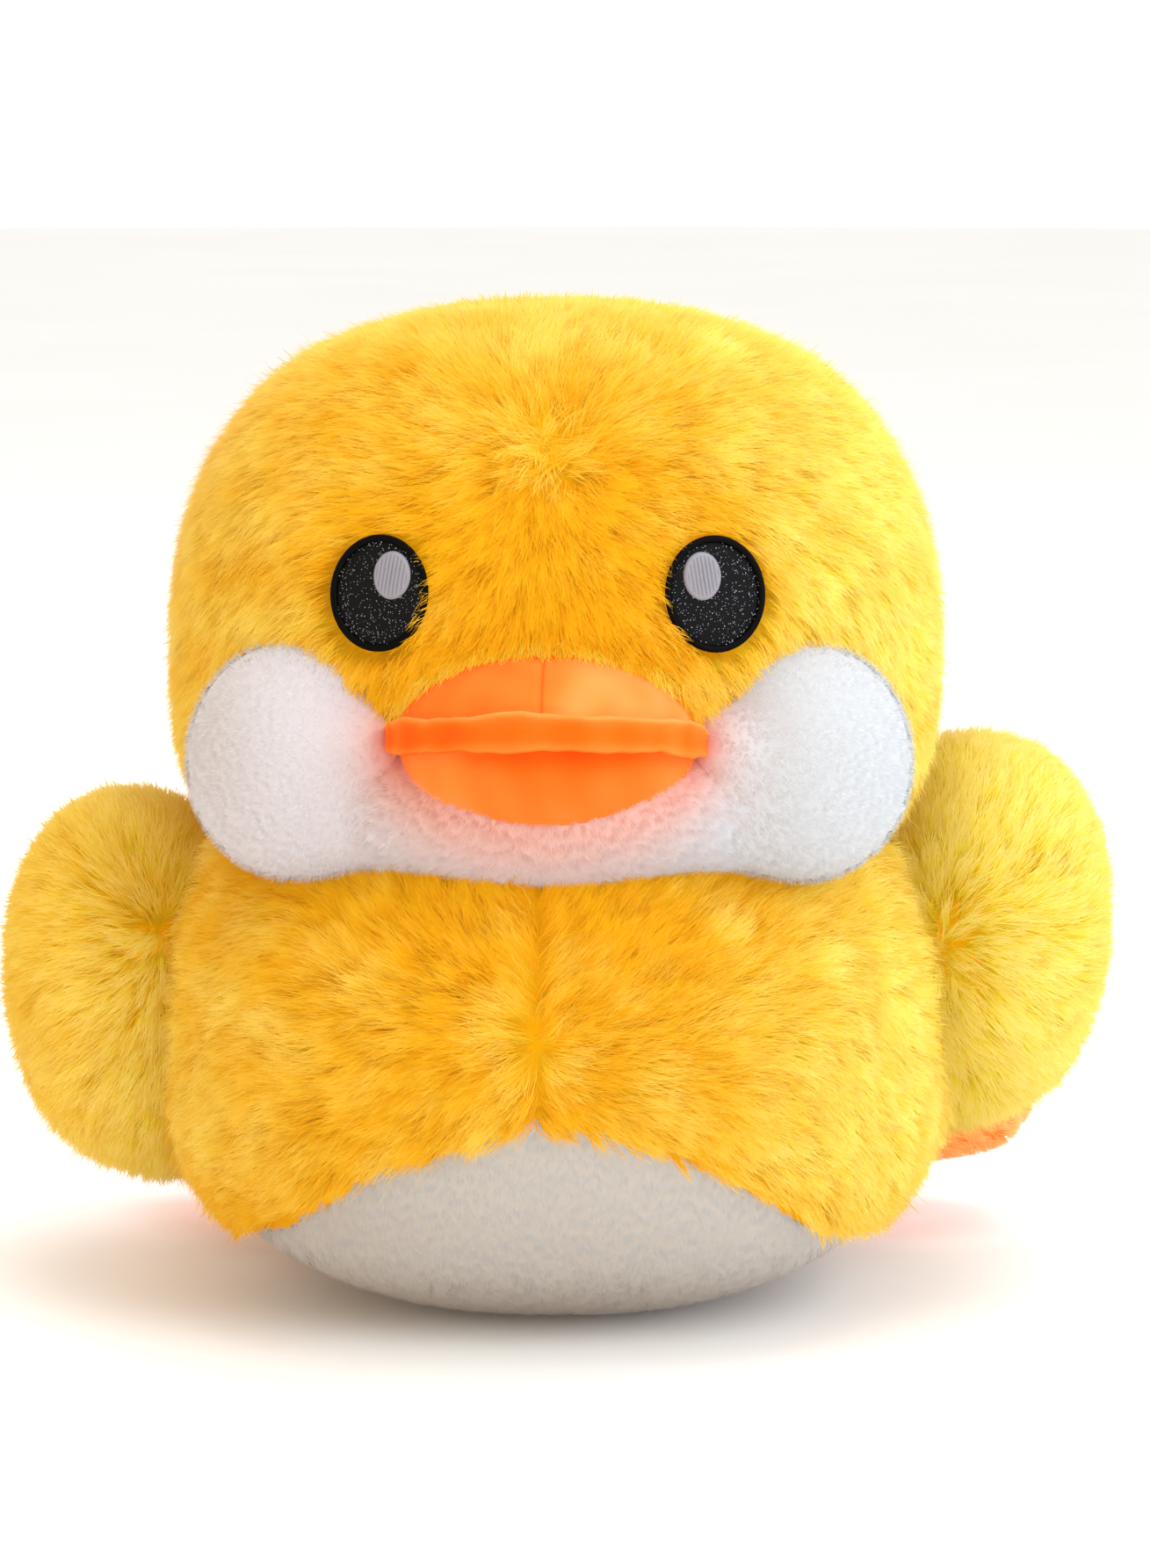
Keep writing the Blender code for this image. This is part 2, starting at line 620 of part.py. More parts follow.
def make_bill(carrier):
    """Two upper panels that meet at the middle seam, one lower panel, the lip and two fillings.

    It gives the cutters that keep the chin clear of it.
    """
    half_gap = SEAM_GAP / 2
    place = face_place(0, HEAD_CENTRE_HEIGHT - BILL_BELOW_HEAD_CENTRE, BILL_SUNK)
    mount = pivot("bill_mount", place, carrier, (-BILL_TILT, 0, 0))
    lip_space_mesh = tube_mesh("lip_space", lip_points(), lip_radii(SEAM_GAP))
    lip_space = add_object("lip_space", lip_space_mesh, place, mount)
    lip_mesh = tube_mesh("bill_lip", lip_points(), lip_radii(0))
    lip = add_object("bill_lip", lip_mesh, place, mount, group=duck)
    cut(lip, head_near)
    finish(lip, orange)

    upper_core_space = shape_object(
        "bill_upper_core_space", BILL_UPPER, BILL_FABRIC, SMALL_CORE_GRID, place, mount
    )
    for side, low, high in (
        ("left", (None, None, half_gap), (-half_gap, None, None)),
        ("right", (half_gap, None, half_gap), (None, None, None)),
    ):
        name = f"bill_upper_{side}_panel"
        panel = shape_object(name, BILL_UPPER, 0, LIMB_GRID, place, mount, group=duck)
        cut(panel, upper_core_space)
        cut(panel, region(f"{name}_space", low, high, place, mount), keep=True)
        cut(panel, lip_space, head_near)
        finish(panel, orange)
    above = region("above_mouth", (None, None, half_gap), (None, None, None), place, mount)
    below = region("below_mouth", (None, None, None), (None, None, -half_gap), place, mount)

    upper = shape_object(
        "bill_upper_stuffing",
        BILL_UPPER,
        BILL_FABRIC + SEAM_GAP,
        SMALL_CORE_GRID,
        place,
        mount,
        group=duck,
    )
    cut(upper, above, keep=True)
    cut(upper, lip_space, head_near)
    finish(upper, fibre)

    lower_core_space = shape_object(
        "bill_lower_core_space", BILL_LOWER, BILL_FABRIC, SMALL_CORE_GRID, place, mount
    )
    panel = shape_object("bill_lower_panel", BILL_LOWER, 0, LIMB_GRID, place, mount, group=duck)
    cut(panel, lower_core_space)
    cut(panel, below, keep=True)
    cut(panel, lip_space, head_near)
    finish(panel, orange)

    lower = shape_object(
        "bill_lower_stuffing",
        BILL_LOWER,
        BILL_FABRIC + SEAM_GAP,
        SMALL_CORE_GRID,
        place,
        mount,
        group=duck,
    )
    cut(lower, below, keep=True)
    cut(lower, lip_space, head_near)
    finish(lower, fibre)
    lower_near = shape_object("bill_lower_near", BILL_LOWER, -SEAM_GAP, LIMB_GRID, place, mount)
    return lower_near, lip_space


def make_chin(carrier, bill_spaces):
    """The white band under the bill, between the cheeks."""
    place = face_place(0, JAW_HEIGHT + CHIN_HALF_HEIGHT, CHIN_SUNK)
    band = shape_object("chin_band", CHIN, 0, LIMB_GRID, place, carrier, group=duck)
    cut(band, head_near, *bill_spaces)
    for side, sign in (("left", -1), ("right", 1)):
        near = shape_object(f"cheek_{side}_near", CHEEK, -SEAM_GAP, LIMB_GRID, cheek_place(sign))
        cut(band, near)
    finish(band, white)


def body_grown(name, by):
    """The body's form grown by a distance, to cut what lies against it."""
    return shape_object(name, BODY, -by, MAIN_GRID, BODY_CENTRE)


def make_limb(name, form, grids, fabrics, place, turn, carrier):
    """The stuffing of a limb against the body. It gives the space that the panels leave for it."""
    grid, core_grid = grids
    skin, lining = fabrics
    core_space = shape_object(f"{name}_core_space", form, skin, core_grid, place, turn=turn)
    cut(core_space, body_grown(f"{name}_lining", lining + SEAM_GAP))
    filling = shape_object(
        f"{name}_stuffing", form, skin + SEAM_GAP, core_grid, place, carrier, turn, duck
    )
    cut(filling, body_grown(f"{name}_lining_near", lining + 2 * SEAM_GAP))
    finish(filling, fibre)
    return core_space


def make_limb_panel(name, form, grid, place, turn, carrier, low, high, cutters_near, material):
    """The part of a limb's skin that lies in a box in the limb's own axes."""
    panel = shape_object(name, form, 0, grid, place, carrier, turn, group=duck)
    cut(panel, *cutters_near)
    space = region(f"{name}_space", low, high, place)
    space.rotation_euler = turn
    cut(panel, space, keep=True)
    finish(panel, material)


def make_wing(side, sign, rise):
    """A wing that swings out about the upright front end of its seam."""
    place = BODY_CENTRE + Vector(
        (sign * (BODY_HALF_WIDTH + WING_STAND_OUT), WING_BEHIND_CENTRE, rise)
    )
    reach = BODY.plan_reach(0, sign, -WING_HINGE_FORWARD, 0)
    hinge = BODY_CENTRE + Vector((reach, -WING_HINGE_FORWARD, rise))
    carrier = pivot(f"wing_{side}_hinge", hinge)
    turn = (0, sign * WING_ROLL, 0)
    name = f"wing_{side}"
    grids = (LIMB_GRID, LIMB_CORE_GRID)
    core_space = make_limb(name, WING, grids, (LONG_PILE, WING_LINING), place, turn, carrier)
    for panel, way in (("inner_panel", -sign), ("outer_panel", sign)):
        near, far = sorted((way * SEAM_GAP / 2, way * CUT_OVERRUN))
        make_limb_panel(
            f"{name}_{panel}",
            WING,
            LIMB_GRID,
            place,
            turn,
            carrier,
            (near, None, None),
            (far, None, None),
            (body_near, head_clear, core_space),
            yellow,
        )


def make_foot(side, sign):
    """A webbed foot that lifts about the level seam at its heel."""
    rise = FOOT_ROOT_HEIGHT - BODY_CENTRE_HEIGHT
    hinge_rise = rise + FOOT_HINGE_RISE
    reach = BODY.plan_reach(0, sign, FOOT_ROOT_BEHIND_CENTRE, rise)
    hinge_reach = BODY.plan_reach(0, sign, FOOT_ROOT_BEHIND_CENTRE, hinge_rise)
    root = BODY_CENTRE + Vector((reach, FOOT_ROOT_BEHIND_CENTRE, rise))
    hinge = BODY_CENTRE + Vector((hinge_reach, FOOT_ROOT_BEHIND_CENTRE, hinge_rise))
    carrier = pivot(f"foot_{side}_hinge", hinge)
    out = Vector((sign * math.cos(FOOT_YAW), math.sin(FOOT_YAW), math.tan(FOOT_TILT))).normalized()
    place = root + out * (FOOT_REACH - FOOT_HALF_LENGTH)
    turn = out.to_track_quat("X", "Z").to_euler()
    name = f"foot_{side}"
    grids = (SMALL_GRID, SMALL_CORE_GRID)
    core_space = make_limb(name, FOOT, grids, (FOOT_FABRIC, FOOT_FABRIC), place, turn, carrier)
    for panel, way in (("sole_panel", -1), ("top_panel", 1)):
        near, far = sorted((way * SEAM_GAP / 2, way * CUT_OVERRUN))
        make_limb_panel(
            f"{name}_{panel}",
            FOOT,
            SMALL_GRID,
            place,
            turn,
            carrier,
            (None, None, near),
            (None, None, far),
            (body_near, core_space),
            orange,
        )


def make_duck():
    make_body()
    neck = pivot("head_pivot", (0, 0, NECK_HEIGHT))
    make_head(neck)
    for side, sign in (("left", -1), ("right", 1)):
        make_eye(side, sign, neck)
        make_cheek(side, sign, neck)
        make_foot(side, sign)
    make_chin(neck, make_bill(neck))
    make_wing("left", -1, WING_LEFT_ABOVE_BODY_CENTRE)
    make_wing("right", 1, WING_RIGHT_ABOVE_BODY_CENTRE)


clear_scene()
duck = new_collection("plush_duck")
cutters = new_collection("cutters")
yellow = fabric("yellow long plush", YELLOW_FUR)
white = fabric("white short plush", WHITE_FUR)
orange = fabric("orange velvet", ORANGE_VELVET, 0.8)
glitter = fabric("black glitter fabric", GLITTER_BLACK, 0.45)
black_thread = fabric("black satin stitch", THREAD_BLACK, 0.5)
lilac_thread = fabric("pale lilac satin stitch", THREAD_LILAC, 0.5)
fibre = fabric("fibre stuffing", FIBRE_WHITE, 1.0)
body_near = body_grown("body_near", SEAM_GAP)
head_near = shape_object("head_near", HEAD, -SEAM_GAP, MAIN_GRID, HEAD_CENTRE)
head_clear = shape_object("head_clear", HEAD, -HEAD_TURN_CLEARANCE, MAIN_GRID, HEAD_CENTRE)
make_duck()
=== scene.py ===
"""The looks of a plush duck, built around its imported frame.

Long yellow fur grows in tufts from a knitted backing, the cheeks, chin and belly have a short white
pile, the bill and feet are orange velour, and the eyes are glitter fabric with satin stitching.
Lengths are in metres, +Z is up and the face looks towards -Y.
"""

import copy
import json
import math
from dataclasses import dataclass, replace

import bpy
import numpy as np
from bpy.props import FloatProperty, FloatVectorProperty, IntProperty, PointerProperty
from mathutils import Matrix, Vector


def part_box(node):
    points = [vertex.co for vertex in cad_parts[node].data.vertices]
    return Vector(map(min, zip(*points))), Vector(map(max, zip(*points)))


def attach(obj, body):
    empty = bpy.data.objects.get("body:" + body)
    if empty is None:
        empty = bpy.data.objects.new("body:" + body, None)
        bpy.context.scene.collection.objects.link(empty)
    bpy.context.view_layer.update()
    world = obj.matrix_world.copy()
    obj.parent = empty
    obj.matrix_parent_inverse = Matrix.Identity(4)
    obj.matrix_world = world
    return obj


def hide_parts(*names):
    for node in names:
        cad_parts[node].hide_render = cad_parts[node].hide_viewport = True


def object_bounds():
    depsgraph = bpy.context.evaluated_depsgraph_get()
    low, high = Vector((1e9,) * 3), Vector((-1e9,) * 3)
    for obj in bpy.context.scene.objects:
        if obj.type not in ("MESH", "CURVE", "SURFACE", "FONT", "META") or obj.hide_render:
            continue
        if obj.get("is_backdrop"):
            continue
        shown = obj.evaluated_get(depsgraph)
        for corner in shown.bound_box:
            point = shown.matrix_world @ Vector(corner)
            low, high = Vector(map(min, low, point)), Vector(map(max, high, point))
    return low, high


bl_info = {
    "name": "Plush duck",
    "version": (1, 0, 0),
    "blender": (4, 5, 0),
    "location": "3D View > Sidebar > Plush duck",
    "description": "Fur, velour and stitching of a plush duck",
    "category": "Object",
}

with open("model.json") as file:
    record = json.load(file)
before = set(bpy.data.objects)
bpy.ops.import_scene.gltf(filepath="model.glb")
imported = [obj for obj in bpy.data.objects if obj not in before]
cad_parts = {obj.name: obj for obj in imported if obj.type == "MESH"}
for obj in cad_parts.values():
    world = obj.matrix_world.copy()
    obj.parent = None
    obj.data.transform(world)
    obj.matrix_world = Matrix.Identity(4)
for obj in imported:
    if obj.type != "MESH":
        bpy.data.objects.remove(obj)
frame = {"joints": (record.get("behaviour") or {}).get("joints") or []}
JOINTS = {joint["name"]: joint for joint in frame["joints"]}

MM = 0.001
BAKE_MAP = "OFBake"
TONE = "tone"
# How many shades of pile the columns of the map tell apart.
SHADE_COLUMNS = 64
SIDES = (("left", -1), ("right", 1))


def measured():
    """The box of the shown pieces, as plain lists."""
    bpy.context.view_layer.update()
    return [list(corner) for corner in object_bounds()]


CAD_BOX = measured()


def from_hex(text):
    """An sRGB hex value as linear red, green and blue."""
    values = [int(text[i : i + 2], 16) / 255 for i in (1, 3, 5)]
    return tuple(v / 12.92 if v <= 0.04045 else ((v + 0.055) / 1.055) ** 2.4 for v in values)


def unit(vectors):
    """Each vector at the length 1."""
    return vectors / np.maximum(np.linalg.norm(vectors, axis=-1, keepdims=True), 1e-12)


def flatten(vectors, normals):
    """The part of each vector that lies along the surface, as a unit vector."""
    return unit(vectors - normals * np.sum(vectors * normals, axis=1, keepdims=True))


def smooth(value, low, high):
    """0 up to low and 1 from high on, with a soft rise between them."""
    share = np.clip((value - low) / (high - low), 0, 1)
    return share * share * (3 - 2 * share)


def waves(points, size, seed, count=6):
    """A soft, even unrest, mostly from -1 to 1, whose patches are about this size across."""
    rng = np.random.default_rng(seed)
    ways = unit(rng.normal(size=(count, 3))) * (2 * math.pi / size) * rng.uniform(0.6, 1.4, (count, 1))
    starts = rng.uniform(0, 2 * math.pi, count)
    return np.sin(points @ ways.T + starts).sum(axis=1) / math.sqrt(count / 2) / 1.6


class Form:
    """A stuffed shape: half sizes on the low and high side of its centre, and how square it is."""

    def __init__(self, centre, low, high, powers=(2, 2, 2), sag=0, bends=None, turn=None):
        self.centre = np.array(centre, float)
        self.low = np.array(low, float)
        self.high = np.array(high, float)
        self.plan_power, self.low_power, self.high_power = powers
        self.sag = sag
        self.bend, self.unbend = bends or (None, None)
        self.turn = np.eye(3) if turn is None else np.array(turn, float)

    def surface(self, ways, inset=0.0):
        """The points of the surface that lie these ways from the centre."""
        power = np.where(ways[:, 2] > 0, self.high_power, self.low_power)
        plan = np.sum(np.abs(ways[:, :2]) ** self.plan_power, axis=1)
        value = plan ** (power / self.plan_power) + np.abs(ways[:, 2]) ** power
        halves = np.where(ways > 0, self.high, self.low) - inset
        points = ways * halves * (value ** (-1 / power))[:, None]
        if self.sag:
            height = points[:, 2] + self.low[2] - inset
            points[:, 2] -= height * np.exp(-height / self.sag)
        if self.bend:
            points = self.bend(points)
        return points @ self.turn.T + self.centre

    def normals(self, ways, inset=0.0):
        """The outward directions of the surface, from points a little to each side."""
        step = 1e-3
        beside = unit(np.cross(ways, np.where(np.abs(ways[:, 2:]) < 0.9, (0, 0, 1), (1, 0, 0))))
        above = np.cross(ways, beside)
        across = self.surface(unit(ways + step * beside), inset)
        across = across - self.surface(unit(ways - step * beside), inset)
        along = self.surface(unit(ways + step * above), inset)
        along = along - self.surface(unit(ways - step * above), inset)
        found = unit(np.cross(across, along))
        outward = np.sum(found * (self.surface(ways, inset) - self.centre), axis=1, keepdims=True)
        return found * np.where(outward < 0, -1, 1)

    def beyond(self, points):
        """How far points lie outside the form, on the line from its centre. Inside it is negative."""
        own = self.to_own(points)
        if self.unbend:
            own = self.unbend(own)
        share = np.abs(own) / np.where(own > 0, self.high, self.low)
        power = np.where(own[:, 2] > 0, self.high_power, self.low_power)
        plan = np.sum(share[:, :2] ** self.plan_power, axis=1)
        value = plan ** (power / self.plan_power) + share[:, 2] ** power
        return np.linalg.norm(own, axis=1) * (1 - value ** (-1 / power))

    def spread_at(self, height, inset=0.0):
        """How wide the form is at heights above its centre, as a share of its widest."""
        power = np.where(height > 0, self.high_power, self.low_power)
        half = np.where(height > 0, self.high[2], self.low[2]) - inset
        return (1 - np.minimum(np.abs(height) / half, 0.9999) ** power) ** (1 / power)

    def to_own(self, points):
        """Points in the form's own frame: from its centre, and along its own axes."""
        return (points - self.centre) @ self.turn

    def plan_reach(self, axis, sign, other, height):
        """How far the surface lies along X or Y at a height and at a place on the other axis."""
        power = self.high_power if height > 0 else self.low_power
        halves = [self.high[i] if v > 0 else self.low[i] for i, v in enumerate((sign, sign, height))]
        plan = (1 - (abs(height) / halves[2]) ** power) ** (self.plan_power / power)
        plan -= (abs(other) / halves[1 - axis]) ** self.plan_power
        return sign * (self.high if sign > 0 else self.low)[axis] * plan ** (1 / self.plan_power)


# The forms of the frame. What its boxes and joints say is read from them.
NECK = JOINTS["head_turn"]["pos_m"][2]
HEAD_WIDEST_ABOVE_NECK = 65 * MM
JAW_DROP = 88 * MM
EAR_SEAM_BACK = 15 * MM
HEAD_POWERS = (2.2, 3.0, 2.4)
BODY_WIDEST_HEIGHT = 80 * MM
SHOULDER_RISE = 100 * MM
BODY_POWERS = (2.4, 2.3, 3.5)
BELLY_STEP = 6 * MM
BELLY_SAG = 4 * MM
REST_CUT = 0.5 * MM
SIDE_SEAM_FORWARD = 40 * MM
CHEEK_HALVES = (35.5 * MM, 36 * MM, 39.5 * MM)
CHIN_HALVES = (76 * MM, 37 * MM, 29 * MM)
WING_HALVES = (43 * MM, 58 * MM, 65.5 * MM)
WING_TIP_REACH = 92 * MM
WING_TIP_LIFT = 14 * MM
WING_TIP_SHARE = 0.72
WING_POWER = 2.15
WING_ROLL = math.radians(4)
WING_STAND_OUT = 12 * MM
WING_BACK = 10 * MM
TAIL_HALVES = (34 * MM, 48 * MM, 26 * MM)
TAIL_TIP_SHARE = 0.42
TAIL_TILT = math.radians(32)
TAIL_RISE = 32 * MM
TAIL_ROOT_DEPTH = 6 * MM
BORDER_SIDE_HEIGHT = 32 * MM
BORDER_PEAK_HEIGHT = 84 * MM
BORDER_HALF_SPREAD = 108 * MM
BORDER_START_FORWARD = 45 * MM
BORDER_PEAK_FORWARD = 110 * MM
BORDER_ARCH_POWER = 1.5
CHEEK_OUT = 82.5 * MM
CHEEK_SUNK = 7.7 * MM
JAW_CLEARANCE = 0.6 * MM
CHIN_SUNK = 21.5 * MM
BILL_BELOW_HEAD = 16 * MM
BILL_SUNK = 11.8 * MM
BILL_TILT = math.radians(10)
BILL_BACK = 30 * MM
BILL_UPPER_HALVES = (49 * MM, 51 * MM, 28.5 * MM)
BILL_LOWER_HALVES = (46 * MM, 43 * MM, 30.5 * MM)
LIP_HALF_WIDTH = 50.3 * MM
LIP_REACH = 52 * MM
LIP_SWEEP = math.radians(93)
EYE_OUT = 54 * MM
EYE_RISE = 32 * MM
EYE_HALVES = (16.9 * MM, 18.8 * MM)
EYE_SUNK = 1.2 * MM
FOOT_HALVES = (41 * MM, 30 * MM, 11.5 * MM)
FOOT_POWER = 2.4
FOOT_ROOT_BACK = 88 * MM
FOOT_ROOT_HEIGHT = 31 * MM
FOOT_REACH = 78 * MM
FOOT_YAW = math.radians(25)
FOOT_TILT = math.radians(6)
FOOT_HEEL_SHARE = 0.55
FOOT_TOE_DEPTH_SHARE = 0.09
FOOT_TOES = 3


def joined_box(*nodes):
    """The box around several nodes of the frame."""
    boxes = [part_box(node) for node in nodes]
    return np.min([b[0] for b in boxes], axis=0), np.max([b[1] for b in boxes], axis=0)


HEAD_BOX = joined_box("head_left_panel", "head_right_panel", "head_back_panel")
BODY_BOX = joined_box("chest_left_panel", "chest_right_panel", "back_left_panel", "back_right_panel")
HEAD_CENTRE = np.array((0, 0, NECK + HEAD_WIDEST_ABOVE_NECK))
BODY_CENTRE = np.array((0, 0, BODY_WIDEST_HEIGHT))
HEAD = Form(
    HEAD_CENTRE,
    (HEAD_BOX[1][0], -HEAD_BOX[0][1], JAW_DROP),
    (HEAD_BOX[1][0], HEAD_BOX[1][1], HEAD_BOX[1][2] - HEAD_CENTRE[2]),
    HEAD_POWERS,
)
BODY = Form(
    BODY_CENTRE,
    (BODY_BOX[1][0], -BODY_BOX[0][1], BODY_WIDEST_HEIGHT + REST_CUT + BELLY_STEP),
    (BODY_BOX[1][0], BODY_BOX[1][1], SHOULDER_RISE),
    BODY_POWERS,
    sag=BELLY_SAG,
)


def face_place(out, height, sunk):
    """A point as far inside the front of the head as given, at a height above the floor."""
    return np.array((out, HEAD.plan_reach(1, -1, out, height - HEAD_CENTRE[2]) + sunk, height))


def cheek_form(sign):
    """A round puff that rests just above the neck seam."""
    height = NECK + JAW_CLEARANCE + CHEEK_HALVES[2]
    return Form(face_place(sign * CHEEK_OUT, height, CHEEK_SUNK), CHEEK_HALVES, CHEEK_HALVES)


CHEEKS = {side: cheek_form(sign) for side, sign in SIDES}
CHIN = Form(
    face_place(0, NECK + JAW_CLEARANCE + CHIN_HALVES[2], CHIN_SUNK), CHIN_HALVES, CHIN_HALVES
)
BILL_PLACE = face_place(0, HEAD_CENTRE[2] - BILL_BELOW_HEAD, BILL_SUNK)
BILL_TURN = np.array(Matrix.Rotation(-BILL_TILT, 3, "X"))
BILL_UPPER = Form(
    BILL_PLACE,
    (*BILL_UPPER_HALVES[:2], BILL_LOWER_HALVES[2]),
    (BILL_UPPER_HALVES[0], BILL_BACK, BILL_UPPER_HALVES[2]),
    turn=BILL_TURN,
)
BILL_LOWER = Form(
    BILL_PLACE,
    BILL_LOWER_HALVES,
    (BILL_LOWER_HALVES[0], BILL_BACK, BILL_UPPER_HALVES[2]),
    turn=BILL_TURN,
)


def wing_bend(points):
    """Narrows the wing towards its tip, and lifts the tip."""
    along = np.maximum(points[:, 1], 0) / WING_TIP_REACH
    narrow = 1 - (1 - WING_TIP_SHARE) * along**2
    return np.stack(
        (points[:, 0] * narrow, points[:, 1], points[:, 2] * narrow + WING_TIP_LIFT * along**2), axis=1
    )


def wing_unbend(points):
    """Takes the wing's bend back out."""
    along = np.clip(points[:, 1], 0, WING_TIP_REACH) / WING_TIP_REACH
    narrow = 1 - (1 - WING_TIP_SHARE) * along**2
    return np.stack(
        (points[:, 0] / narrow, points[:, 1], (points[:, 2] - WING_TIP_LIFT * along**2) / narrow),
        axis=1,
    )


def tail_bend(points):
    """Narrows the tail towards its tip."""
    narrow = 1 - (1 - TAIL_TIP_SHARE) * np.maximum(points[:, 1:2], 0) / TAIL_HALVES[1]
    return np.hstack((points[:, :1] * narrow, points[:, 1:2], points[:, 2:] * narrow))


def foot_bend(points):
    """Widens the foot from its heel to its toes, and waves its front edge into lobes."""
    along = (points[:, 0] + FOOT_HALVES[0]) / (2 * FOOT_HALVES[0])
    spread = FOOT_HEEL_SHARE + (1 - FOOT_HEEL_SHARE) * np.sin(along * math.pi / 2)
    turn = np.arctan2(points[:, 1] / FOOT_HALVES[1], points[:, 0] / FOOT_HALVES[0])
    toes = 1 + FOOT_TOE_DEPTH_SHARE * np.cos(2 * FOOT_TOES * turn) * np.maximum(np.cos(turn), 0)
    return np.stack(
        (points[:, 0] * toes, points[:, 1] * spread * toes, points[:, 2] * spread), axis=1
    )


def wing_form(side, sign):
    """A round lobe beside the body, at the height of its own hinge."""
    hinge = JOINTS[f"wing_{side}_swing"]["pos_m"]
    centre = (sign * (BODY.high[0] + WING_STAND_OUT), WING_BACK, hinge[2])
    return Form(
        centre,
        WING_HALVES,
        (WING_HALVES[0], WING_TIP_REACH, WING_HALVES[2]),
        (WING_POWER,) * 3,
        bends=(wing_bend, wing_unbend),
        turn=Matrix.Rotation(sign * WING_ROLL, 3, "Y"),
    )


def foot_form(sign):
    """A flat foot that reaches out and back from its root on the body."""
    rise = FOOT_ROOT_HEIGHT - BODY_CENTRE[2]
    root = np.array((BODY.plan_reach(0, sign, FOOT_ROOT_BACK, rise), FOOT_ROOT_BACK, FOOT_ROOT_HEIGHT))
    out = Vector((sign * math.cos(FOOT_YAW), math.sin(FOOT_YAW), math.tan(FOOT_TILT))).normalized()
    turn = out.to_track_quat("X", "Z").to_matrix()
    return Form(
        root + np.array(out) * (FOOT_REACH - FOOT_HALVES[0]),
        FOOT_HALVES,
        FOOT_HALVES,
        (2, FOOT_POWER, FOOT_POWER),
        bends=(foot_bend, None),
        turn=turn,
    )


WINGS = {side: wing_form(side, sign) for side, sign in SIDES}
FEET = {side: foot_form(sign) for side, sign in SIDES}
TAIL = Form(
    (0, BODY.plan_reach(1, 1, 0, TAIL_RISE) - TAIL_ROOT_DEPTH, BODY_CENTRE[2] + TAIL_RISE),
    TAIL_HALVES,
    TAIL_HALVES,
    bends=(tail_bend, None),
    turn=Matrix.Rotation(TAIL_TILT, 3, "X"),
)


def border_height(points):
    """The height of the belly's edge: low round the sides, rising to a soft point in front."""
    forward = smooth(-points[:, 1], BORDER_START_FORWARD, BORDER_PEAK_FORWARD)
    across = np.minimum(np.abs(points[:, 0]) / BORDER_HALF_SPREAD, 1)
    arch = (1 - across**BORDER_ARCH_POWER) * forward
    return BORDER_SIDE_HEIGHT + (BORDER_PEAK_HEIGHT - BORDER_SIDE_HEIGHT) * arch


def metres(name, description, default):
    """A property that holds a length in metres."""
    return FloatProperty(name=name, description=description, default=default, unit="LENGTH")


def tint(name, description, default):
    """A property that holds a colour. Its default is an sRGB hex value."""
    return FloatVectorProperty(
        name=name, description=description, default=from_hex(default), subtype="COLOR"
    )


class DuckFur(bpy.types.PropertyGroup):
    """Sizes of the pile."""

    pile_depth: metres("Pile depth", "From the backing to the tips of the long yellow pile", 9 * MM)
    pile_length: metres("Fibre length", "Length of a fibre of the long pile, which leans over", 15 * MM)
    tuft_spacing: metres("Tuft spacing", "Distance between the tufts of the long pile", 2.9 * MM)
    fibres_per_tuft: IntProperty(
        name="Fibres a tuft", description="Blades that one tuft of the long pile holds", default=11
    )
    fibre_width: metres("Fibre width", "Width of a drawn blade, which stands for a few fibres", 0.32 * MM)
    short_depth: metres("Short pile depth", "From the backing to the tips of the white pile", 3 * MM)
    short_spacing: metres("Short pile spacing", "Distance between the tufts of the white pile", 1.5 * MM)


class DuckColours(bpy.types.PropertyGroup):
    """Colours of the fabrics and threads."""

    fur_root: tint("Fur roots", "Depth of the fur", "#D68900")
    fur_middle: tint("Fur middle", "Half way up the fur", "#D3A903")
    fur_tip: tint("Fur tips", "Pale tips of the fur", "#DECC34")
    white: tint("White pile", "Cheeks, chin and belly", "#BEC1C5")
    orange: tint("Velour", "Bill and feet", "#FF620C")
    black: tint("Eye black", "Eye fabric and its rim", "#090808")
    lilac: tint("Eye highlight", "Stitched highlight of the eyes", "#8F8C94")


class DuckStage(bpy.types.PropertyGroup):
    """The camera and its place."""

    camera_turn: FloatProperty(
        name="Camera turn",
        description="Angle of the camera to the right of the duck's face",
        default=math.radians(1.3),
        subtype="ANGLE",
    )
    camera_rise: FloatProperty(
        name="Camera rise",
        description="Angle of the camera above the level",
        default=math.radians(9),
        subtype="ANGLE",
    )
    camera_distance: metres("Camera distance", "From the camera to its target", 1.7)
    focal_length: FloatProperty(
        name="Focal length",
        description="Focal length of the lens on a 36 mm wide sensor",
        default=114.3,
        unit="CAMERA",
    )


PROPERTY_GROUPS = (("duck_fur", DuckFur), ("duck_colours", DuckColours), ("duck_stage", DuckStage))


def add_node(tree, kind, settings=None, links=None, stops=()):
    """A node with its settings, links from other nodes' sockets to its own, and its colour stops.

    A socket is given by its name, or by its number where sockets share a name.
    """
    node = tree.nodes.new(kind)
    for name, value in (settings or {}).items():
        if name in node.inputs:
            node.inputs[name].default_value = value
        else:
            setattr(node, name, value)
    for socket, source in (links or {}).items():
        tree.links.new(source, node.inputs[socket])
    if stops:
        elements = node.color_ramp.elements
        for element, (place, colour) in zip(list(elements), (stops[0], stops[-1])):
            element.position = place
            element.color = (*colour, 1)
        for place, colour in stops[1:-1]:
            elements.new(place).color = (*colour, 1)
    return node


def new_material(name, settings):
    """A material with one Principled shader. It gives the material, its node tree and the shader."""
    made = bpy.data.materials.new(name)
    made.use_nodes = True
    tree = made.node_tree
    shader = tree.nodes["Principled BSDF"]
    for socket, value in settings.items():
        shader.inputs[socket].default_value = value
    return made, tree, shader


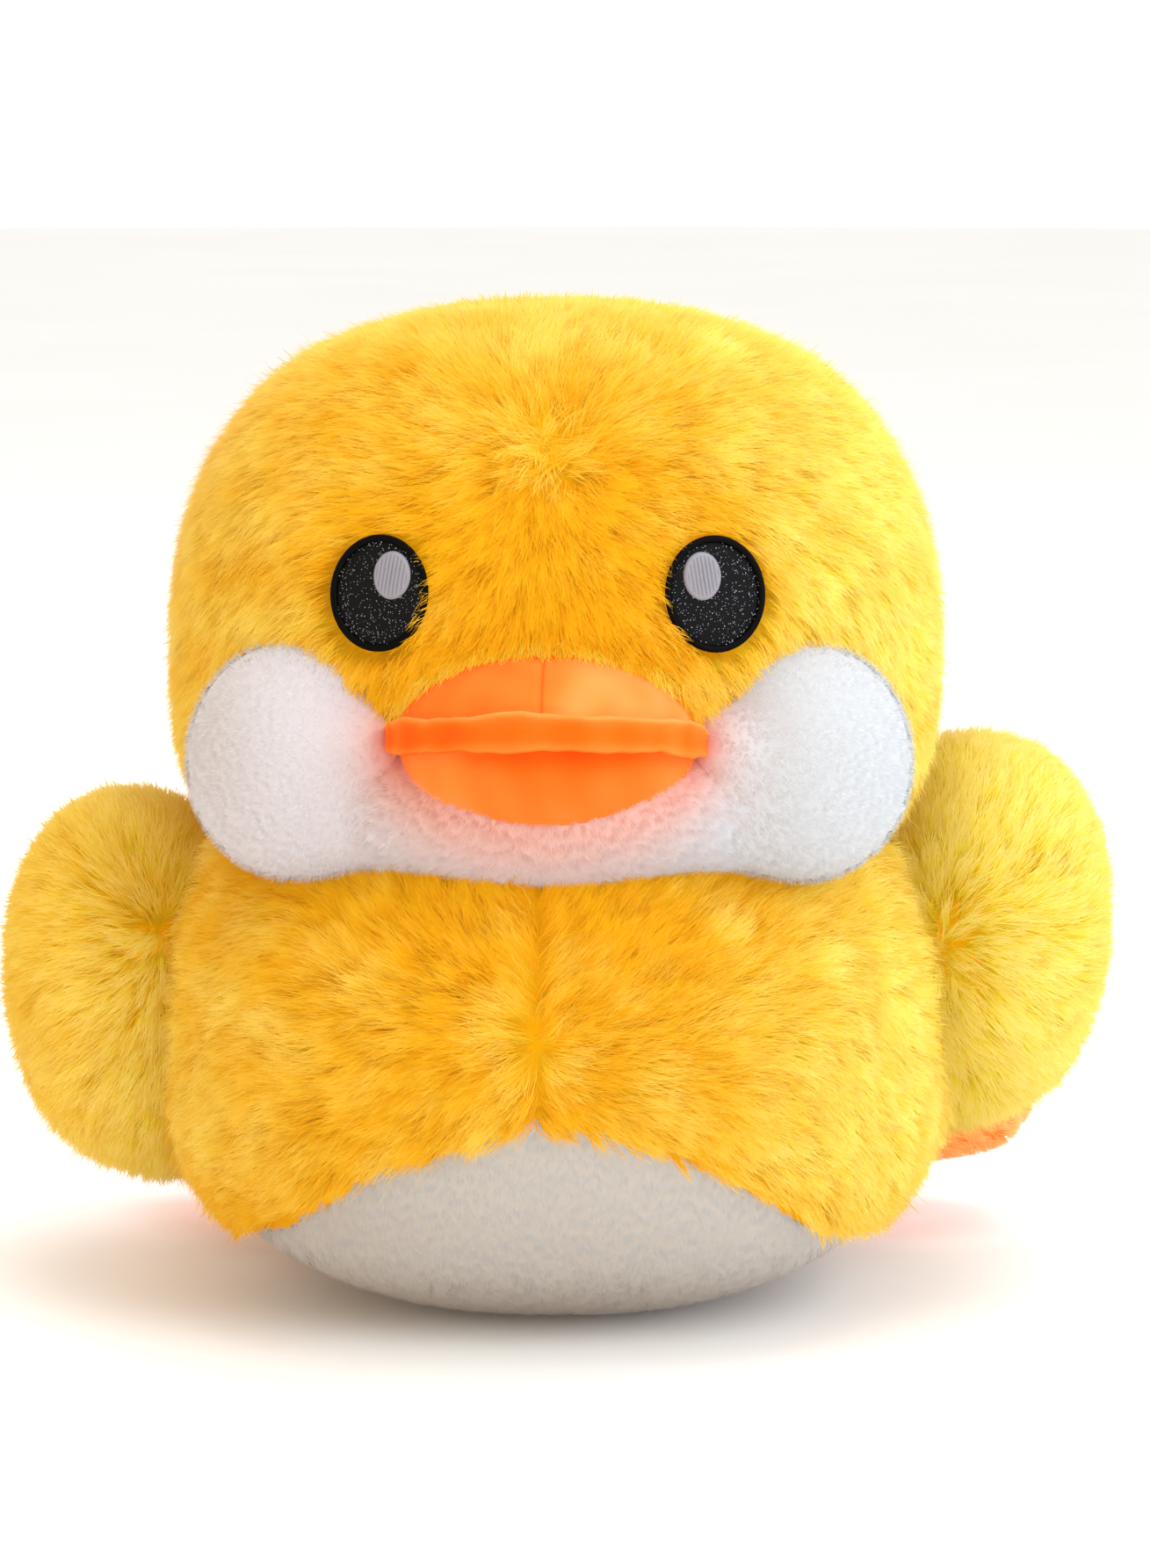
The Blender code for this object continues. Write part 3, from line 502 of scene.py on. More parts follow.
# Light that wanders in deep yellow pile comes out orange. A weak glow of this colour stands for it.
GLOW_COLOUR = (1.0, 0.46, 0.0, 1)
YELLOW_SHEEN = {"Sheen Weight": 0.05, "Sheen Tint": (1.0, 0.9, 0.2, 1)}
WHITE_SHEEN = {"Sheen Weight": 0.3, "Sheen Tint": (1.0, 1.0, 1.0, 1)}


def light_seen_side(tree, shader):
    """Lights each blade by what lies on the side that is seen.

    Light goes through a fibre, so the back of a blade keeps the normal of its front. Where that
    normal lies behind the blade as it is seen, it is mirrored in the blade.
    """
    seen = add_node(tree, "ShaderNodeNewGeometry")
    sign = add_node(
        tree,
        "ShaderNodeMapRange",
        {"To Min": 1.0, "To Max": -1.0},
        {"Value": seen.outputs["Backfacing"]},
    )
    kept = add_node(
        tree,
        "ShaderNodeVectorMath",
        {"operation": "SCALE"},
        {0: seen.outputs["Normal"], "Scale": sign.outputs["Result"]},
    )
    facing = add_node(
        tree,
        "ShaderNodeVectorMath",
        {"operation": "DOT_PRODUCT"},
        {0: kept.outputs["Vector"], 1: seen.outputs["True Normal"]},
    )
    behind = add_node(
        tree,
        "ShaderNodeMapRange",
        {"From Min": -1.0, "From Max": 0.0, "To Min": 2.0, "To Max": 0.0},
        {"Value": facing.outputs["Value"]},
    )
    step = add_node(
        tree,
        "ShaderNodeVectorMath",
        {"operation": "SCALE"},
        {0: seen.outputs["True Normal"], "Scale": behind.outputs["Result"]},
    )
    lit = add_node(
        tree,
        "ShaderNodeVectorMath",
        {"operation": "ADD"},
        {0: kept.outputs["Vector"], 1: step.outputs["Vector"]},
    )
    tree.links.new(lit.outputs["Vector"], shader.inputs["Normal"])


def fibre_material(name, deep, pale, sheen=YELLOW_SHEEN, glow=0.0):
    """Acrylic pile: soft crimped fibres, darker in the depth, which is partly painted shade, and pale at
    the tips.

    deep and pale each hold the colours at the root, middle and tip. A blade's column on the map
    says how far it goes from one to the other. A real fibre is about 0.03 mm thick, too fine to
    show, so a blade is drawn as wide as it needs to be.
    """
    made, tree, shader = new_material(
        name,
        {
            "Roughness": 0.7,
            "Specular IOR Level": 0.1,
            "Sheen Roughness": 0.5,
            "Emission Color": GLOW_COLOUR,
            "Emission Strength": glow,
            **sheen,
        },
    )
    place = add_node(tree, "ShaderNodeUVMap", {"uv_map": BAKE_MAP})
    apart = add_node(tree, "ShaderNodeSeparateXYZ", links={"Vector": place.outputs["UV"]})
    first, second = (
        add_node(
            tree,
            "ShaderNodeValToRGB",
            links={"Fac": apart.outputs["Y"]},
            stops=tuple(zip((0.0, 0.5, 1.0), colours)),
        )
        for colours in (deep, pale)
    )
    mix = add_node(
        tree,
        "ShaderNodeMix",
        {"data_type": "RGBA"},
        {0: apart.outputs["X"], 6: first.outputs["Color"], 7: second.outputs["Color"]},
    )
    tree.links.new(mix.outputs[2], shader.inputs["Base Color"])
    light_seen_side(tree, shader)
    return made


def raise_grain(tree, shader, strength, grain):
    """Small hills and hollows of the size of the cloth's grain."""
    place = add_node(tree, "ShaderNodeTexCoord").outputs["Object"]
    hills = add_node(tree, "ShaderNodeTexNoise", {"Scale": 1 / grain, "Detail": 4.0}, {"Vector": place})
    raised = add_node(
        tree,
        "ShaderNodeBump",
        {"Strength": strength, "Distance": grain},
        {"Height": hills.outputs["Fac"]},
    )
    tree.links.new(raised.outputs["Normal"], shader.inputs["Normal"])


def cloth_material(name, low, high, patch, settings, bump=0.3, grain=0.6 * MM):
    """Knitted cloth or paper: a colour that drifts in patches, over a fine grain."""
    made, tree, shader = new_material(name, settings)
    place = add_node(tree, "ShaderNodeTexCoord").outputs["Object"]
    drift = add_node(tree, "ShaderNodeTexNoise", {"Scale": 1 / patch, "Detail": 3.0}, {"Vector": place})
    colour = add_node(
        tree, "ShaderNodeValToRGB", links={"Fac": drift.outputs["Fac"]}, stops=((0.3, low), (0.7, high))
    )
    tree.links.new(colour.outputs["Color"], shader.inputs["Base Color"])
    raise_grain(tree, shader, bump, grain)
    return made


def toned_material(name, stops, bump=0.3, grain=0.7 * MM, sheen=0.0):
    """Napped cloth whose colour runs from deep to pale by each point's tone. Pieces set the tone for
    painted light and shade, and for unrest.
    """
    made, tree, shader = new_material(
        name,
        {
            "Roughness": 0.9,
            "Specular IOR Level": 0.1,
            "Sheen Weight": sheen,
            "Sheen Roughness": 0.5,
        },
    )
    tone = add_node(tree, "ShaderNodeAttribute", {"attribute_name": TONE})
    colour = add_node(tree, "ShaderNodeValToRGB", links={"Fac": tone.outputs["Fac"]}, stops=stops)
    tree.links.new(colour.outputs["Color"], shader.inputs["Base Color"])
    raise_grain(tree, shader, bump, grain)
    return made


def shaded(colour, by):
    """The colour made darker, or lighter where by is over 1."""
    return tuple(min(value * by, 1) for value in colour)


def mixed(first, second, share):
    """The first colour with a share of the second in it."""
    return tuple(a + (b - a) * share for a, b in zip(first, second))


MATERIALS = {}


def make_long_plush(colours):
    """The long yellow plush of the head, body, wings and tail."""
    root, middle, tip = (tuple(c) for c in (colours.fur_root, colours.fur_middle, colours.fur_tip))
    # Crimped fibres scatter the light: no gloss and pale tips. The warm glow in the depths is painted
    # light.
    MATERIALS["fur"] = fibre_material(
        "yellow acrylic long pile",
        (mixed(root, middle, 0.3), root, mixed(root, middle, 0.7)),
        (middle, mixed(middle, tip, 0.8), mixed(tip, (1, 0.82, 0.8), 0.24)),
        glow=0.08,
    )
    # The knit shows only between the tufts, as more of the same warm depth. Its weak glow is painted
    # light, which keeps the shade between the tufts from going dark.
    MATERIALS["backing"] = cloth_material(
        "golden knitted backing",
        root,
        mixed(root, middle, 0.3),
        12 * MM,
        {
            "Roughness": 0.95,
            "Specular IOR Level": 0.1,
            "Emission Color": GLOW_COLOUR,
            "Emission Strength": 0.14,
        },
    )


def make_white_plush(colours):
    """The short white plush of the cheeks and the chin."""
    white, full = tuple(colours.white), (1.0, 1.0, 1.0)
    # Painted light: beside the bill the white pile is painted with the orange light that the bill casts
    # on it. These are its root, middle and tip.
    warm = (
        mixed(white, from_hex("#DC7048"), 0.8),
        mixed(white, from_hex("#E48058"), 0.66),
        mixed(white, from_hex("#F0A080"), 0.5),
    )
    # Short dense fibres: matt, with a pale bloom where they are seen from the side.
    MATERIALS["white_pile"] = fibre_material(
        "white acrylic short pile", warm, (shaded(white, 0.94), white, white), WHITE_SHEEN
    )
    # Its knit lies right under the pile, and has the same colour and bloom.
    MATERIALS["white_backing"] = toned_material(
        "white knitted backing", ((0.0, warm[1]), (1.0, white)), bump=0.1, sheen=0.4
    )
    # The loose ends of the finest fibres catch the light, which makes an edge look soft. They are painted
    # whiter than the pile: a painted highlight along the edge.
    MATERIALS["white_fuzz"] = fibre_material(
        "white acrylic fuzz",
        (warm[2], warm[2], mixed(warm[2], full, 0.3)),
        (white, mixed(white, full, 0.4), mixed(white, full, 0.7)),
        WHITE_SHEEN,
    )


def make_belly_plush(colours):
    """The same short plush on the belly, on which the toy rests."""
    white = tuple(colours.white)
    shade_browns = (from_hex("#7E6246"), from_hex("#886C50"), from_hex("#92765A"))
    cream = (
        shaded(white, 0.86),
        mixed(white, from_hex("#B09878"), 0.5),
        mixed(white, from_hex("#B49C7C"), 0.45),
    )
    # Pile that the toy rests on: flatter and duller than the cheeks'. It is painted browner as shade
    # underneath and on the side away from the light.
    MATERIALS["belly_pile"] = fibre_material("off-white acrylic short pile", shade_browns, cream, WHITE_SHEEN)
    # Its knit has the same two colours.
    MATERIALS["belly_backing"] = toned_material(
        "off-white knitted backing", ((0.0, shade_browns[1]), (1.0, cream[1])), bump=0.1
    )


def make_orange_velour(colours):
    """The velour of the bill and feet, and the nap of the feet."""
    orange, peach = tuple(colours.orange), from_hex("#FFB868")
    # The nap of the feet: short fibres with pale tips, which blur the edge of a foot.
    MATERIALS["orange_pile"] = fibre_material(
        "orange acrylic short pile",
        (mixed(orange, peach, 0.2), mixed(orange, peach, 0.4), from_hex("#FFB060")),
        (mixed(orange, peach, 0.5), peach, from_hex("#FFC47C")),
    )
    # Cut velour has no gloss. Its tone runs from deep to pale; on the bill it carries painted light and
    # shade.
    MATERIALS["velour"] = toned_material(
        "orange cut velour",
        (
            (0.0, from_hex("#F0480A")),
            (0.35, orange),
            (0.65, mixed(orange, from_hex("#FF9E48"), 0.35)),
            (1.0, mixed(orange, from_hex("#FFA458"), 0.75)),
        ),
    )


def make_eye_finishes(colours):
    """The cloth, flakes and threads of the eyes."""
    black = tuple(colours.black)
    # Dark coated cloth: dull itself, so that its flakes stand out.
    MATERIALS["glitter_cloth"] = cloth_material(
        "black glitter cloth",
        shaded(black, 0.6),
        black,
        1.2 * MM,
        {"Roughness": 0.6, "Specular IOR Level": 0.12},
        bump=0.5,
        grain=0.5 * MM,
    )
    # Foil flakes are small mirrors: only those that face a light flash.
    MATERIALS["flake"] = new_material(
        "silver glitter flake",
        {"Base Color": (*from_hex("#8C8F98"), 1), "Metallic": 0.6, "Roughness": 0.35},
    )[0]
    # Black rayon gives a thin sheen along the ridges of its stitches.
    MATERIALS["black_thread"] = new_material(
        "black rayon thread, satin stitched",
        {"Base Color": (*shaded(black, 0.4), 1), "Roughness": 0.5, "Specular IOR Level": 0.06},
    )[0]
    # Pale rayon shines more softly, and shows its rows by their shadows.
    MATERIALS["lilac_thread"] = new_material(
        "pale lilac rayon thread, satin stitched",
        {"Base Color": (*colours.lilac, 1), "Roughness": 0.45, "Specular IOR Level": 0.3},
    )[0]


def make_materials(colours):
    make_long_plush(colours)
    make_white_plush(colours)
    make_belly_plush(colours)
    make_orange_velour(colours)
    make_eye_finishes(colours)


def mesh_from(name, points, corners, sizes, material, normals=None, map_places=None, tones=None):
    """An object from arrays: points, the corners' point numbers, and how many corners a face has."""
    mesh = bpy.data.meshes.new(name)
    mesh.vertices.add(len(points))
    mesh.vertices.foreach_set("co", np.asarray(points, np.float32).ravel())
    mesh.loops.add(len(corners))
    mesh.loops.foreach_set("vertex_index", np.asarray(corners, np.int32))
    mesh.polygons.add(len(sizes))
    starts = np.concatenate(([0], np.cumsum(sizes)[:-1]))
    mesh.polygons.foreach_set("loop_start", starts.astype(np.int32))
    mesh.update(calc_edges=True)
    mesh.polygons.foreach_set("use_smooth", np.ones(len(sizes), bool))
    if map_places is not None:
        layer = mesh.uv_layers.new(name=BAKE_MAP)
        layer.data.foreach_set("uv", map_places[corners].astype(np.float32).ravel())
    if tones is not None:
        layer = mesh.attributes.new(TONE, "FLOAT", "POINT")
        layer.data.foreach_set("value", np.clip(tones, 0, 1).astype(np.float32))
    if normals is not None:
        mesh.normals_split_custom_set_from_vertices(normals)
    mesh.materials.append(material)
    made = bpy.data.objects.new(name, mesh)
    bpy.context.scene.collection.objects.link(made)
    return made


def sphere_ways(around, rings, crowd=0.0):
    """Directions on a ball: a pole, rings from top to bottom, and the other pole.

    With crowd they draw together where X is 0, for the fine forms of a middle seam.
    """
    tilt = np.linspace(0, math.pi, rings + 1)[1:-1]
    turn = np.arange(around) * 2 * math.pi / around
    turn = turn + crowd * np.sin(2 * turn) / 2
    ring = np.stack(
        (
            np.outer(np.sin(tilt), np.cos(turn)),
            np.outer(np.sin(tilt), np.sin(turn)),
            np.repeat(np.cos(tilt)[:, None], around, axis=1),
        ),
        axis=2,
    ).reshape(-1, 3)
    return np.vstack(((0, 0, 1), ring, (0, 0, -1)))


def sphere_triangles(around, rings):
    """The triangles between the directions of sphere_ways, facing out."""
    here = np.arange(around)
    after = (here + 1) % around
    faces = [np.stack((np.zeros(around, int), 1 + here, 1 + after), axis=1)]
    for ring in range(rings - 2):
        low = 1 + ring * around
        faces.append(np.stack((low + here, low + around + here, low + around + after), axis=1))
        faces.append(np.stack((low + here, low + around + after, low + after), axis=1))
    last = 1 + (rings - 1) * around
    low = last - around
    faces.append(np.stack((low + here, np.full(around, last), low + after), axis=1))
    return np.vstack(faces)


def stuffed(name, form, inset, material, grid=(128, 64), shape=None, swell=None, tone=None):
    """A stuffed piece: the form's surface at a depth, as swell and then shape move it.

    tone gives how deep or pale each point of a toned material looks.
    """
    ways = sphere_ways(*grid)
    points = form.surface(ways, inset)
    normals = form.normals(ways, inset)
    if swell:
        points = points + normals * swell(points)[:, None]
    if shape:
        points = shape(points, normals)
    faces = sphere_triangles(*grid[:2])
    tones = tone(points) if tone else None
    return mesh_from(name, points, faces.ravel(), np.full(len(faces), 3), material, tones=tones)


class Bed:
    """Places where tufts grow: points of a backing, the way the fur lies there, its shade and lift."""

    def __init__(self, form, inset, spacing, rng, grid=(144, 72), swell=None):
        ways = sphere_ways(*grid)
        faces = sphere_triangles(*grid)
        points = form.surface(ways, inset)
        first, second, third = (points[faces[:, i]] for i in range(3))
        areas = np.linalg.norm(np.cross(second - first, third - first), axis=1) / 2
        count = int(areas.sum() / spacing**2)
        chosen = rng.choice(len(faces), count, p=areas / areas.sum())
        shares = rng.dirichlet((1, 1, 1), count)
        picked = unit(np.einsum("ij,ijk->ik", shares, ways[faces[chosen]]))
        self.points = form.surface(picked, inset)
        self.normals = form.normals(picked, inset)
        if swell:
            self.points = self.points + self.normals * swell(self.points)[:, None]
        self.grooms = None
        self.shades = np.full(count, 0.5)
        self.lifts = np.ones(count)

    def keep(self, mask):
        """Keeps only some of the places."""
        for name in ("points", "normals", "grooms", "shades", "lifts"):
            values = getattr(self, name)
            if values is not None:
                setattr(self, name, values[mask])
        return self

    def part(self, mask):
        """The places that a mask picks, as a bed of their own."""
        return copy.copy(self).keep(mask)


@dataclass
class Pile:
    """How one kind of pile grows. Depth is how high it stands, and spread is a tuft's radius."""

    depth: float
    length: float
    count: int
    width: float
    spread: float
    # How far apart a tuft's tips are, as a share of its roots' distance.
    tips_apart: float = 0.6
    # The usual angle between a tuft's lean and the groom, in degrees.
    unrest: float = 9
    # The share of blades that stick out of the pile.
    strays: float = 0.03
    # How far a blade's own facing shows in its light.
    facing: float = 0.25
    # How much taller the tall tufts are.
    tufting: float = 0.0
    # How much the shade differs from blade to blade.
    fleck: float = 0.06


@dataclass
class Blade:
    """A drawn blade: where its rows lie along it, their widths, and its triangles."""

    steps: np.ndarray
    widths: np.ndarray
    faces: np.ndarray


LONG_BLADE = Blade(
    np.array((0.0, 0.42, 0.76, 1.0)),
    np.array((0.8, 1.0, 0.7)),
    np.array(((0, 1, 3), (0, 3, 2), (2, 3, 5), (2, 5, 4), (4, 5, 6))),
)
SHORT_BLADE = Blade(
    np.array((0.0, 0.55, 1.0)),
    np.array((0.9, 0.8)),
    np.array(((0, 1, 3), (0, 3, 2), (2, 3, 4))),
)
# The usual turn of a blade about its own line, in radians.
BLADE_TWIST = 0.1
# The share of the tufts that are tall ones.
TALL_TUFTS = 0.09
# The usual sideways bow of a blade, as a share of its length.
CURL = 0.06


def turn_about(vectors, axes, angles):
    """Each vector turned about its axis."""
    cos, sin = np.cos(angles)[:, None], np.sin(angles)[:, None]
    along = np.sum(vectors * axes, axis=1, keepdims=True)
    return vectors * cos + np.cross(axes, vectors) * sin + axes * along * (1 - cos)


def blade_lines(bed, pile, rng, steps):
    """The middle lines of the blades, and the tuft of each.

    Each tuft leans its own way, and its blades draw together at their tips.
    """
    tufts = len(bed.points)
    unrest = math.radians(pile.unrest)
    lean = turn_about(bed.grooms, bed.normals, rng.normal(0, unrest, tufts))
    tuft_depth = pile.depth * bed.lifts * rng.uniform(0.88, 1.05, tufts)
    tuft_depth *= 1 + pile.tufting * (rng.uniform(0, 1, tufts) < TALL_TUFTS)
    of = np.repeat(np.arange(tufts), pile.count)
    count = len(of)
    normals = bed.normals[of]
    lean = turn_about(lean[of], normals, rng.normal(0, unrest * 0.5, count))
    side = np.cross(normals, lean)
    angle = rng.uniform(0, 2 * math.pi, count)
    away = np.sqrt(rng.uniform(0, 1, count)) * pile.spread
    offset = lean * (away * np.cos(angle))[:, None] + side * (away * np.sin(angle))[:, None]
    roots = bed.points[of] + offset
    depth = tuft_depth[of] * rng.uniform(0.88, 1.06, count)
    stray = rng.uniform(0, 1, count) < pile.strays
    depth = np.where(stray, depth * rng.uniform(1.1, 1.4, count), depth)
    length = pile.length * rng.uniform(0.85, 1.1, count)
    reach = np.sqrt(np.maximum(length**2 - depth**2, (0.2 * length) ** 2))
    curl = rng.normal(0, CURL, count) * length
    lines = []
    for t in steps:
        rise = 1 - (1 - t) ** 1.9
        lines.append(
            roots
            + normals * (depth * rise)[:, None]
            + lean * (reach * t**1.35)[:, None]
            - offset * (1 - pile.tips_apart) * t**2
            + side * (curl * math.sin(math.pi * t))[:, None]
        )
    return np.stack(lines, axis=1), of


def grow(name, bed, pile, rng, material, floor=None, mask=None, short=False):
    """A mesh of flat, pointed blades that stand in tufts. Short ones are drawn with fewer faces.

    mask picks the blades that stay by their lines, and none goes below the floor.
    """
    blade = SHORT_BLADE if short else LONG_BLADE
    lines, of = blade_lines(bed, pile, rng, blade.steps)
    if mask is not None:
        kept = mask(lines)
        lines, of = lines[kept], of[kept]
    if floor is not None:
        lines[:, :, 2] = np.maximum(lines[:, :, 2], floor)
    count = len(of)
    normals = bed.normals[of]
    ways = unit(lines[:, -1] - lines[:, 0])
    flat = unit(np.cross(ways, normals))
    flat = turn_about(flat, ways, rng.normal(0, BLADE_TWIST, count))
    shading = unit(normals + unit(np.cross(flat, ways)) * pile.facing)
    widths = pile.width * rng.uniform(0.7, 1.25, count)
    columns = []
    for index, share in enumerate(blade.widths):
        half = flat * (widths * share / 2)[:, None]
        columns += [lines[:, index] - half, lines[:, index] + half]
    columns.append(lines[:, -1])
    per = len(columns)
    shades = np.clip(bed.shades[of] + rng.normal(0, pile.fleck, count), 0, 1)
    column = np.minimum(np.floor(shades * SHADE_COLUMNS), SHADE_COLUMNS - 1)
    left = np.array([0.15, 0.85] * (len(blade.steps) - 1) + [0.5])
    across = (column[:, None] + left) / SHADE_COLUMNS
    heights = np.clip(np.append(np.repeat(blade.steps[:-1], 2), 1.0), 0.01, 0.99)
    places = np.stack((across, np.broadcast_to(heights, (count, per))), axis=2)
    return mesh_from(
        name,
        np.stack(columns, axis=1).reshape(-1, 3),
        (np.arange(count)[:, None, None] * per + blade.faces).ravel(),
        np.full(count * len(blade.faces), 3),
        material,
        np.repeat(shading, per, axis=0),
        places.reshape(-1, 2),
    )


def lit_through(piece):
    """Lets light through a thin layer of fibres, whose own shadows would be finer than a pixel."""
    piece.visible_shadow = False
    piece.visible_diffuse = False
    return piece


def settle(piece, body, nodes=()):
    """Rides a piece on its body, and hides the frame's nodes that it stands for."""
    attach(piece, body)
    if nodes:
        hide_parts(*nodes)


# How far the groom wanders in patches, in radians.
GROOM_WANDER = 0.32


def groom_from(bed, whorl, gravity, patch, seed):
    """The fur lies away from a whorl, falls with its weight further out, and wanders in patches."""
    away = bed.points - np.array(whorl)
    distance = np.linalg.norm(away, axis=1)
    calm = smooth(distance, 4 * MM, 26 * MM)[:, None]
    astray = np.random.default_rng(seed).normal(size=away.shape)
    lie = flatten(away, bed.normals) * calm + flatten(astray, bed.normals) * (1 - calm)
    lie = flatten(lie, bed.normals)
    fall = smooth(distance, 30 * MM, 150 * MM) * gravity
    down = np.array((0, 0, -1.0))
    lie = flatten(lie + down * fall[:, None], bed.normals)
    bed.grooms = turn_about(lie, bed.normals, GROOM_WANDER * waves(bed.points, patch, seed))


def sides_and_painted_light(points):
    """The fur is a little paler towards both sides, and painted paler still on the side that faces the
    key light: painted light.
    """
    sides = 0.2 * smooth(np.abs(points[:, 0]), 40 * MM, 110 * MM)
    return sides + 0.4 * smooth(points[:, 0], 0, 120 * MM)


def shade_bed(bed, level, patch, seed, amount=0.16):
    """Shades drift in patches about a level: 0 is deep and 1 is pale."""
    bed.shades = np.clip(level + amount * waves(bed.points, patch, seed), 0, 1)


def eye_frame(sign):
    """An eye's centre, and its turn, whose columns point sideways, up and out."""
    spot = HEAD_CENTRE + (sign * EYE_OUT, HEAD.plan_reach(1, -1, sign * EYE_OUT, EYE_RISE), EYE_RISE)
    way = unit((spot - HEAD_CENTRE)[None])
    for _ in range(20):
        found = HEAD.surface(way)
        way = unit(way + (spot - found) / np.linalg.norm(spot - HEAD_CENTRE))
    out = HEAD.normals(way)[0]
    turn = np.array(Vector(out).to_track_quat("Z", "Y").to_matrix())
    return spot - out * EYE_SUNK, turn


EYES = {side: eye_frame(sign) for side, sign in SIDES}


def from_eye(points, side):
    """Points from an eye: shares of its half axes across it and up it, and how far out they lie."""
    centre, turn = EYES[side]
    own = (points - centre) @ turn
    return own[:, 0] / EYE_HALVES[0], own[:, 1] / EYE_HALVES[1], own[:, 2]


def near(distance, reach):
    """1 at no distance, falling softly to 0 with the reach."""
    return np.exp(-((np.maximum(distance, 0) / reach) ** 2))


def fill_neck(points):
    """The backing swells at the neck, so that head and body meet without a groove."""
    return 6 * MM * near(np.abs(points[:, 2] - NECK), 9 * MM)


def side_seam(points):
    """1 along the lower part of the seams between the chest and the back, where the lobes part."""
    low = 1 - smooth(points[:, 2], 55 * MM, 95 * MM)
    return near(np.abs(points[:, 1] + SIDE_SEAM_FORWARD), 6 * MM) * low


def fill_body(points):
    """The body's backing swells at the neck and round the wings' roots, and dips at its side seams."""
    wings = sum(near(np.abs(form.beyond(points) + 3 * MM), 10 * MM) for form in WINGS.values())
    filled = np.maximum(fill_neck(points), 5 * MM * np.minimum(wings, 1))
    return filled - 3 * MM * side_seam(points)


def fill_wing(points):
    """A wing's backing swells where it meets the body and the head."""
    filled = np.maximum(near(BODY.beyond(points), 11 * MM), near(HEAD.beyond(points), 14 * MM))
    return 6 * MM * filled


def from_nubs(points):
    """How far points lie from the nearer end of the lip, seen from the front."""
    out = LIP_HALF_WIDTH * math.sin(LIP_SWEEP) + 7 * MM
    return np.hypot(np.abs(points[:, 0]) - out, points[:, 2] - BILL_PLACE[2])


WHITE_FILLET = 26 * MM
WHITE_RISE = 6 * MM


def fill_between(others):
    """Fills the valley between the white forms with a fillet, and raises them beside the lip's ends."""

    def swell(points):
        total = np.zeros(len(points))
        for other in others:
            share = np.maximum(WHITE_FILLET - np.abs(other.beyond(points)), 0) / WHITE_FILLET
            total = np.maximum(total, share**2 * WHITE_FILLET / 4)
        total *= 1 - near(BILL_LOWER.beyond(points), 9 * MM)
        beside = points[:, 1] < BILL_PLACE[1] + 40 * MM
        return total + WHITE_RISE * near(from_nubs(points) - 3 * MM, 7 * MM) * beside

    return swell


@dataclass
class Layer:
    """One of the layers of the long pile. All but the shade are shares of the pile's own sizes."""

    name: str
    height: float
    shade: float
    width: float
    count: float
    spacing: float
    short: bool

    def pile(self, settings):
        return Pile(
            settings.pile_depth * self.height,
            settings.pile_length * min(self.height, 1.05),
            max(round(settings.fibres_per_tuft * self.count), 1),
            settings.fibre_width * self.width,
            settings.tuft_spacing * 0.66,
            tufting=0.12 if self.height >= 1 else 0.0,
        )


# The underwool is painted deeper, as shade deep in the pile. The guard hairs above it are paler.
LAYERS = (
    Layer("underwool", height=0.85, shade=-0.2, width=1.25, count=0.8, spacing=1.0, short=True),
    Layer("pile", height=1.0, shade=0.0, width=1.0, count=0.32, spacing=1.0, short=False),
    Layer("top_pile", height=1.04, shade=0.04, width=0.9, count=0.7, spacing=1.0, short=False),
    Layer("guard_hairs", height=1.36, shade=0.3, width=0.5, count=0.28, spacing=1.1, short=True),
)


def grow_layer(name, bed, layer, settings, rng, body, **limits):
    """A layer of the long yellow pile. All but the pile itself let light through to what is below."""
    pile = layer.pile(settings)
    piece = grow(f"{name}_{layer.name}", bed, pile, rng, MATERIALS["fur"], short=layer.short, **limits)
    settle(piece if layer.name == "pile" else lit_through(piece), body)


def quarters(bed, seam, front_name, back_name):
    """The bed's left and right parts in front of a seam and behind it, with their names."""
    front, left = bed.points[:, 1] < seam, bed.points[:, 0] < 0
    for name, row in ((front_name, front), (back_name, ~front)):
        for side, column in (("left", left), ("right", ~left)):
            yield f"{name}_{side}", bed.part(row & column)


def eye_distance(points):
    """How far points lie from the nearer eye's edge."""
    distances = []
    for side, _sign in SIDES:
        across, up, out = from_eye(points, side)
        aside = (np.hypot(across, up) - 1) * EYE_HALVES[0]
        distances.append(np.hypot(aside, np.maximum(np.abs(out) - 12 * MM, 0)))
    return np.minimum(*distances)


# How far the fur may hang over an eye: over its inner side and over its lower side.
EYE_OVERHANGS = {"left": (0.9, 0.45), "right": (0.5, 0.1)}


def clear_of_eyes(lines):
    """True for blades that don't lie far over an eye."""
    kept = np.ones(len(lines), bool)
    for side, sign in SIDES:
        inner_share, lower_share = EYE_OVERHANGS[side]
        for step in range(1, lines.shape[1]):
            across, up, out = from_eye(lines[:, step], side)
            over = np.clip(-sign * across * inner_share - up * lower_share, 0, 1)
            kept &= ~((np.abs(out) < 14 * MM) & (np.hypot(across, up) < 1.0 - 0.26 * over))
    return kept


HEAD_WHORL = (1 * MM, -96 * MM, 303 * MM)


def head_bed(layer, settings, rng):
    """Where the head's fur grows: clear of the neck, cheeks, chin, bill and eyes."""
    bed = Bed(HEAD, settings.pile_depth, settings.tuft_spacing * layer.spacing, rng, swell=fill_neck)
    bed.keep(bed.points[:, 2] > NECK + 1 * MM)
    for form in (*CHEEKS.values(), CHIN, BILL_UPPER, BILL_LOWER):
        bed.keep(form.beyond(bed.points) > -1.5 * MM)
    bed.keep((from_nubs(bed.points) > 11 * MM) | (bed.points[:, 2] > BILL_PLACE[2] + 5 * MM))
    for side, _sign in SIDES:
        across, up, out = from_eye(bed.points, side)
        bed.keep((np.hypot(across, up) > 1.02) | (out < -40 * MM))
    return bed


